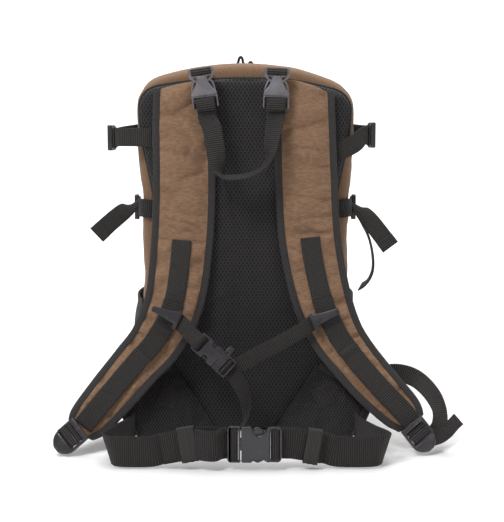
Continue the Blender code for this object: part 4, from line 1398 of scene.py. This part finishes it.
def make_compression():
    turning = [(0, -1, 0), (0.1, -1, 0), (0.3, -1, 0), (0.7, -0.8, 0), (1, -0.1, 0), (1, 0.2, 0),
               (1, 0.3, 0)]
    reaches = {"left": 168, "right": 159}
    heights = {
        "left": [384, 384.5, 385, 385, 384.5, 387, 391],
        "right": [362, 369, 377, 386, 388, 389, 391],
    }
    for tag, side in (("left", -1), ("right", 1)):
        reach = reaches[tag]
        xs = [112, 124, 140, reach - 8, reach, reach - 5, 145.5]
        ys = [-112.8, -113.6, -109.5, -101, -84, -40, 20]
        route = [(side * x, y, z) for x, y, z in zip(xs, ys, heights[tag])]
        looks = [(side * x, y, z) for x, y, z in turning]
        web = ribbon(f"upper_web_{tag}", route, HAUL_WEB, WEB, facing=looks)
        settle(web, "pack", "black_webbing", f"compression_upper_{tag}")
        node = f"compression_lock_upper_{tag}"
        origin = (side * (reach + 5.5), -88, heights[tag][4] - 0.5)
        make_lock(f"upper_{tag}", node, node, origin, (side * -0.06, 1, 0), (side, 0, 0))
        node = f"compression_lock_lower_{tag}"
        make_lock(f"lower_{tag}", node, node, (side * 143.5, -54, 292), (side * 0.1, 1, 0), (side, 0, 0))
    tails = {
        "left": [(-146, -58, 299), (-152, -68, 294), (-163, -79, 285), (-177, -90, 273), (-192, -98, 259)],
        "right": [(146, -58, 296), (153, -68, 289), (164, -79, 276), (177, -88, 259), (189, -95, 243)],
    }
    leaving = [(1, -0.9, 0.1), (0.6, -1, 0.1), (0.2, -1, 0), (0, -1, 0), (0, -1, 0)]
    for tag, side in (("left", -1), ("right", 1)):
        looks = [(side * x, y, z) for x, y, z in leaving]
        tail_with_tab(f"lower_tail_{tag}", tails[tag], looks, f"compression_lower_{tag}")
    for tag, side in (("left", -1), ("right", 1)):
        anchor = [(112, -97, 292), (126, -98, 293), (134.5, -92, 294), (139, -78, 294), (141, -58, 293)]
        route = [(side * x, y, z) for x, y, z in anchor]
        looks = [(side * x, y, 0) for x, y in ((0, -1), (0.15, -1), (0.7, -0.7), (1, -0.2), (1, 0))]
        web = ribbon(f"lower_anchor_{tag}", route, HAUL_WEB, WEB, facing=looks)
        settle(web, "pack", "black_webbing")
    route = [(152, 6, 284), (160, 0, 268), (170, -6, 248), (176, -8, 222), (176, -8, 200),
             (169, -4, 184), (160, 2, 176)]
    looks = [(1, 0, 0.5), (1, 0, 0.4), (1, 0, 0.2), (1, 0, 0), (1, 0, -0.3), (1, 0, -0.8), (1, 0, -1)]
    web = ribbon("slack_web", route, HAUL_WEB, WEB, facing=looks)
    settle(web, "pack", "black_webbing", "compression_slack_right")


def make_side_pocket(tag, side):
    """A stretch pocket that bellies out below a bound, elastic mouth."""
    rim = [(135, -82), (143, -68), (149.5, -42), (152.6, -8), (150, 22), (143, 42), (135, 56)]
    line = smooth([Vector((x, y, 0)) for x, y in rim], 5)
    heights = [(23, 0.75), (26, 0.8), (40, 0.95), (70, 1.1), (105, 1.15), (135, 1.1), (154, 0.9),
               (164, 0.72), (167, 0.68)]
    rings = []
    for z, swell in heights:
        rings.append([Vector((side * (135 + (p.x - 135) * swell), p.y, z)) for p in line])
    count = len(line)
    verts = [tuple(p * MM) for ring in rings for p in ring]
    faces = [
        (r * count + i, r * count + i + 1, (r + 1) * count + i + 1, (r + 1) * count + i)
        for r in range(len(rings) - 1) for i in range(count - 1)
    ]
    mesh = bpy.data.meshes.new(f"side_pocket_cloth_{tag}")
    mesh.from_pydata(verts, [], faces)
    for face in mesh.polygons:
        face.use_smooth = True
    pocket = link(f"side_pocket_cloth_{tag}", mesh, [POCKET_MESH])
    if side < 0:
        pick(pocket, lambda face: True, "FACE")
        bpy.ops.mesh.flip_normals()
        bpy.ops.object.mode_set(mode="OBJECT")
    wall = pocket.modifiers.new("wall", "SOLIDIFY")
    wall.thickness = 1.6 * MM
    wall.offset = -1
    apply_all(pocket)
    refine(pocket)
    settle(pocket, "pack", "black_mesh", f"side_pocket_{tag}")
    mouth = [tuple(p) for p in rings[-1]]
    looks = [(side, 0.0, 0)] * len(mouth)
    hem = ribbon(f"pocket_hem_{tag}", mouth, 11, TAPE, facing=looks, depth=3.0, parts=4)
    settle(hem, "pack", "black_webbing")


# ============================================================ zip pulls
def zip_pull(name, route, spread, height, body, node):
    """A doubled cord that loops up through the slider, with a moulded grip over its ends."""
    start = Vector(route[0])
    arch = ((1, 0.3), (0.8, 0.7), (0.1, 1.0), (-0.7, 0.75), (-1, 0.3))
    loop = [start + Vector((spread * x, 0.4, height * z)) for x, z in arch]
    out, back = [], []
    for k, p in enumerate(route):
        gap = spread * (1 - k / (len(route) - 1)) + 1.4
        out.append(Vector(p) + Vector((gap, 0, 0)))
        back.append(Vector(p) - Vector((gap, 0, 0)))
    cord = tube(name + "_cord", out[::-1] + loop + back, 1.9, WEB, spacing=1.2)
    end, before = Vector(route[-1]), Vector(route[-2])
    seat = placed(before.lerp(end, 0.2), end - before, (1, 0, 0))
    length = (end - before).length
    grip = round_edges(block("grip", (0, -2.6, -3.6), (length * 0.9, 2.6, 3.6), 1.0), 1.0)
    grip = fitted(name + "_grip", [grip], seat, PLASTIC)
    settle(cord, body, "black_webbing", node)
    settle(grip, body, "black_plastic")


def make_zip_pulls():
    for tag, side, rise in (("left", -1, 2), ("right", 1, -5)):
        route = [(side * 7, 51, 484 + rise), (side * 7, 58, 485), (side * 7, 68, 482.5),
                 (side * 7.5, 78, 476), (side * 7.5, 89, 466), (side * 7.5, 97.5, 451), (side * 8, 103, 436)]
        name = f"main_zip_pull_{tag}"
        zip_pull(f"zip_pull_{tag}", route, 3.2, 10, name, name)
    route = [(-72, 119.4, 328), (-72, 120, 318), (-72, 120, 304), (-72, 119.4, 288)]
    zip_pull("pocket_pull", route, 1.2, 2.5, "pocket_zip_pull", "pocket_zip_pull")
    for name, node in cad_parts.items():
        if "slider" in name:
            node.data.materials.clear()
            node.data.materials.append(METAL)


# ============================================================ stage
def area_light(name, place, aim, size, power, colour=(1, 1, 1)):
    lamp = bpy.data.lights.new(name, "AREA")
    lamp.shape = "RECTANGLE"
    lamp.size, lamp.size_y = size
    lamp.energy = power
    lamp.color = colour
    obj = bpy.data.objects.new(name, lamp)
    bpy.context.scene.collection.objects.link(obj)
    obj.location = place
    obj.rotation_euler = (Vector(aim) - Vector(place)).to_track_quat("-Z", "Y").to_euler()
    return obj


def make_backdrop():
    """A pale floor that sweeps up into a wall behind the pack."""
    bpy.ops.object.select_all(action="DESELECT")
    bpy.ops.mesh.primitive_plane_add(size=8, location=(0, -1, 0))
    sweep = bpy.context.active_object
    sweep.name = "studio_sweep"
    bpy.ops.object.mode_set(mode="EDIT")
    bpy.ops.mesh.select_mode(type="EDGE")
    bpy.ops.mesh.select_all(action="DESELECT")
    bpy.ops.object.mode_set(mode="OBJECT")
    for edge in sweep.data.edges:
        ends = [sweep.data.vertices[i].co.y for i in edge.vertices]
        edge.select = min(ends) > 3.9
    bpy.ops.object.mode_set(mode="EDIT")
    bpy.ops.mesh.extrude_region_move(TRANSFORM_OT_translate={"value": (0, 0, 4)})
    bpy.ops.object.mode_set(mode="OBJECT")
    bpy.ops.object.transform_apply(location=True, rotation=True, scale=True)
    step = sweep.modifiers.new("sweep", "BEVEL")
    step.width = 1.2
    step.segments = 16
    step.limit_method = "ANGLE"
    apply_all(sweep)
    bpy.ops.object.shade_smooth()
    sweep.data.materials.append(pale_floor())


def make_stage():
    make_backdrop()
    world = bpy.data.worlds.new("studio")
    world.use_nodes = True
    world.node_tree.nodes["Background"].inputs["Color"].default_value = (1, 1, 1, 1)
    world.node_tree.nodes["Background"].inputs["Strength"].default_value = 0.33
    bpy.context.scene.world = world
    bpy.context.scene.view_settings.view_transform = "Standard"
    area_light("key", (-0.85, -1.25, 1.75), (0, -0.1, 0.25), (0.6, 0.6), 25)
    area_light("fill", (1.5, -1.4, 0.8), (0, -0.1, 0.2), (0.9, 0.9), 3.5)
    area_light("top", (0.1, -0.1, 1.9), (0, -0.05, 0.3), (1.4, 1.0), 18)
    area_light("wall", (0, 1.5, 2.6), (0, 3.0, 0.6), (3.0, 1.0), 70)


def make_camera():
    camera = bpy.data.cameras.new("camera")
    camera.lens = 74.3
    camera.sensor_width = 36
    view = bpy.data.objects.new("camera", camera)
    bpy.context.scene.collection.objects.link(view)
    view.location = (0.009, -1.4896, 0.3956)
    aim = Vector((0.009, -0.10, 0.225)) - view.location
    view.rotation_euler = aim.to_track_quat("-Z", "Y").to_euler()
    bpy.context.scene.camera = view


make_camera()
make_stage()
make_bag()
make_zip()
make_front_pocket()
make_pad()
for strap_tag, strap_route, strap_seams in STRAPS:
    make_shoulder_strap(strap_tag, strap_route, strap_seams)
    make_strap_webbing(strap_tag, strap_route)
make_haul_strap()
make_chest_strap()
make_belt()
make_strap_locks()
make_adjusters()
make_compression()
make_side_pocket("left", -1)
make_side_pocket("right", 1)
make_zip_pulls()
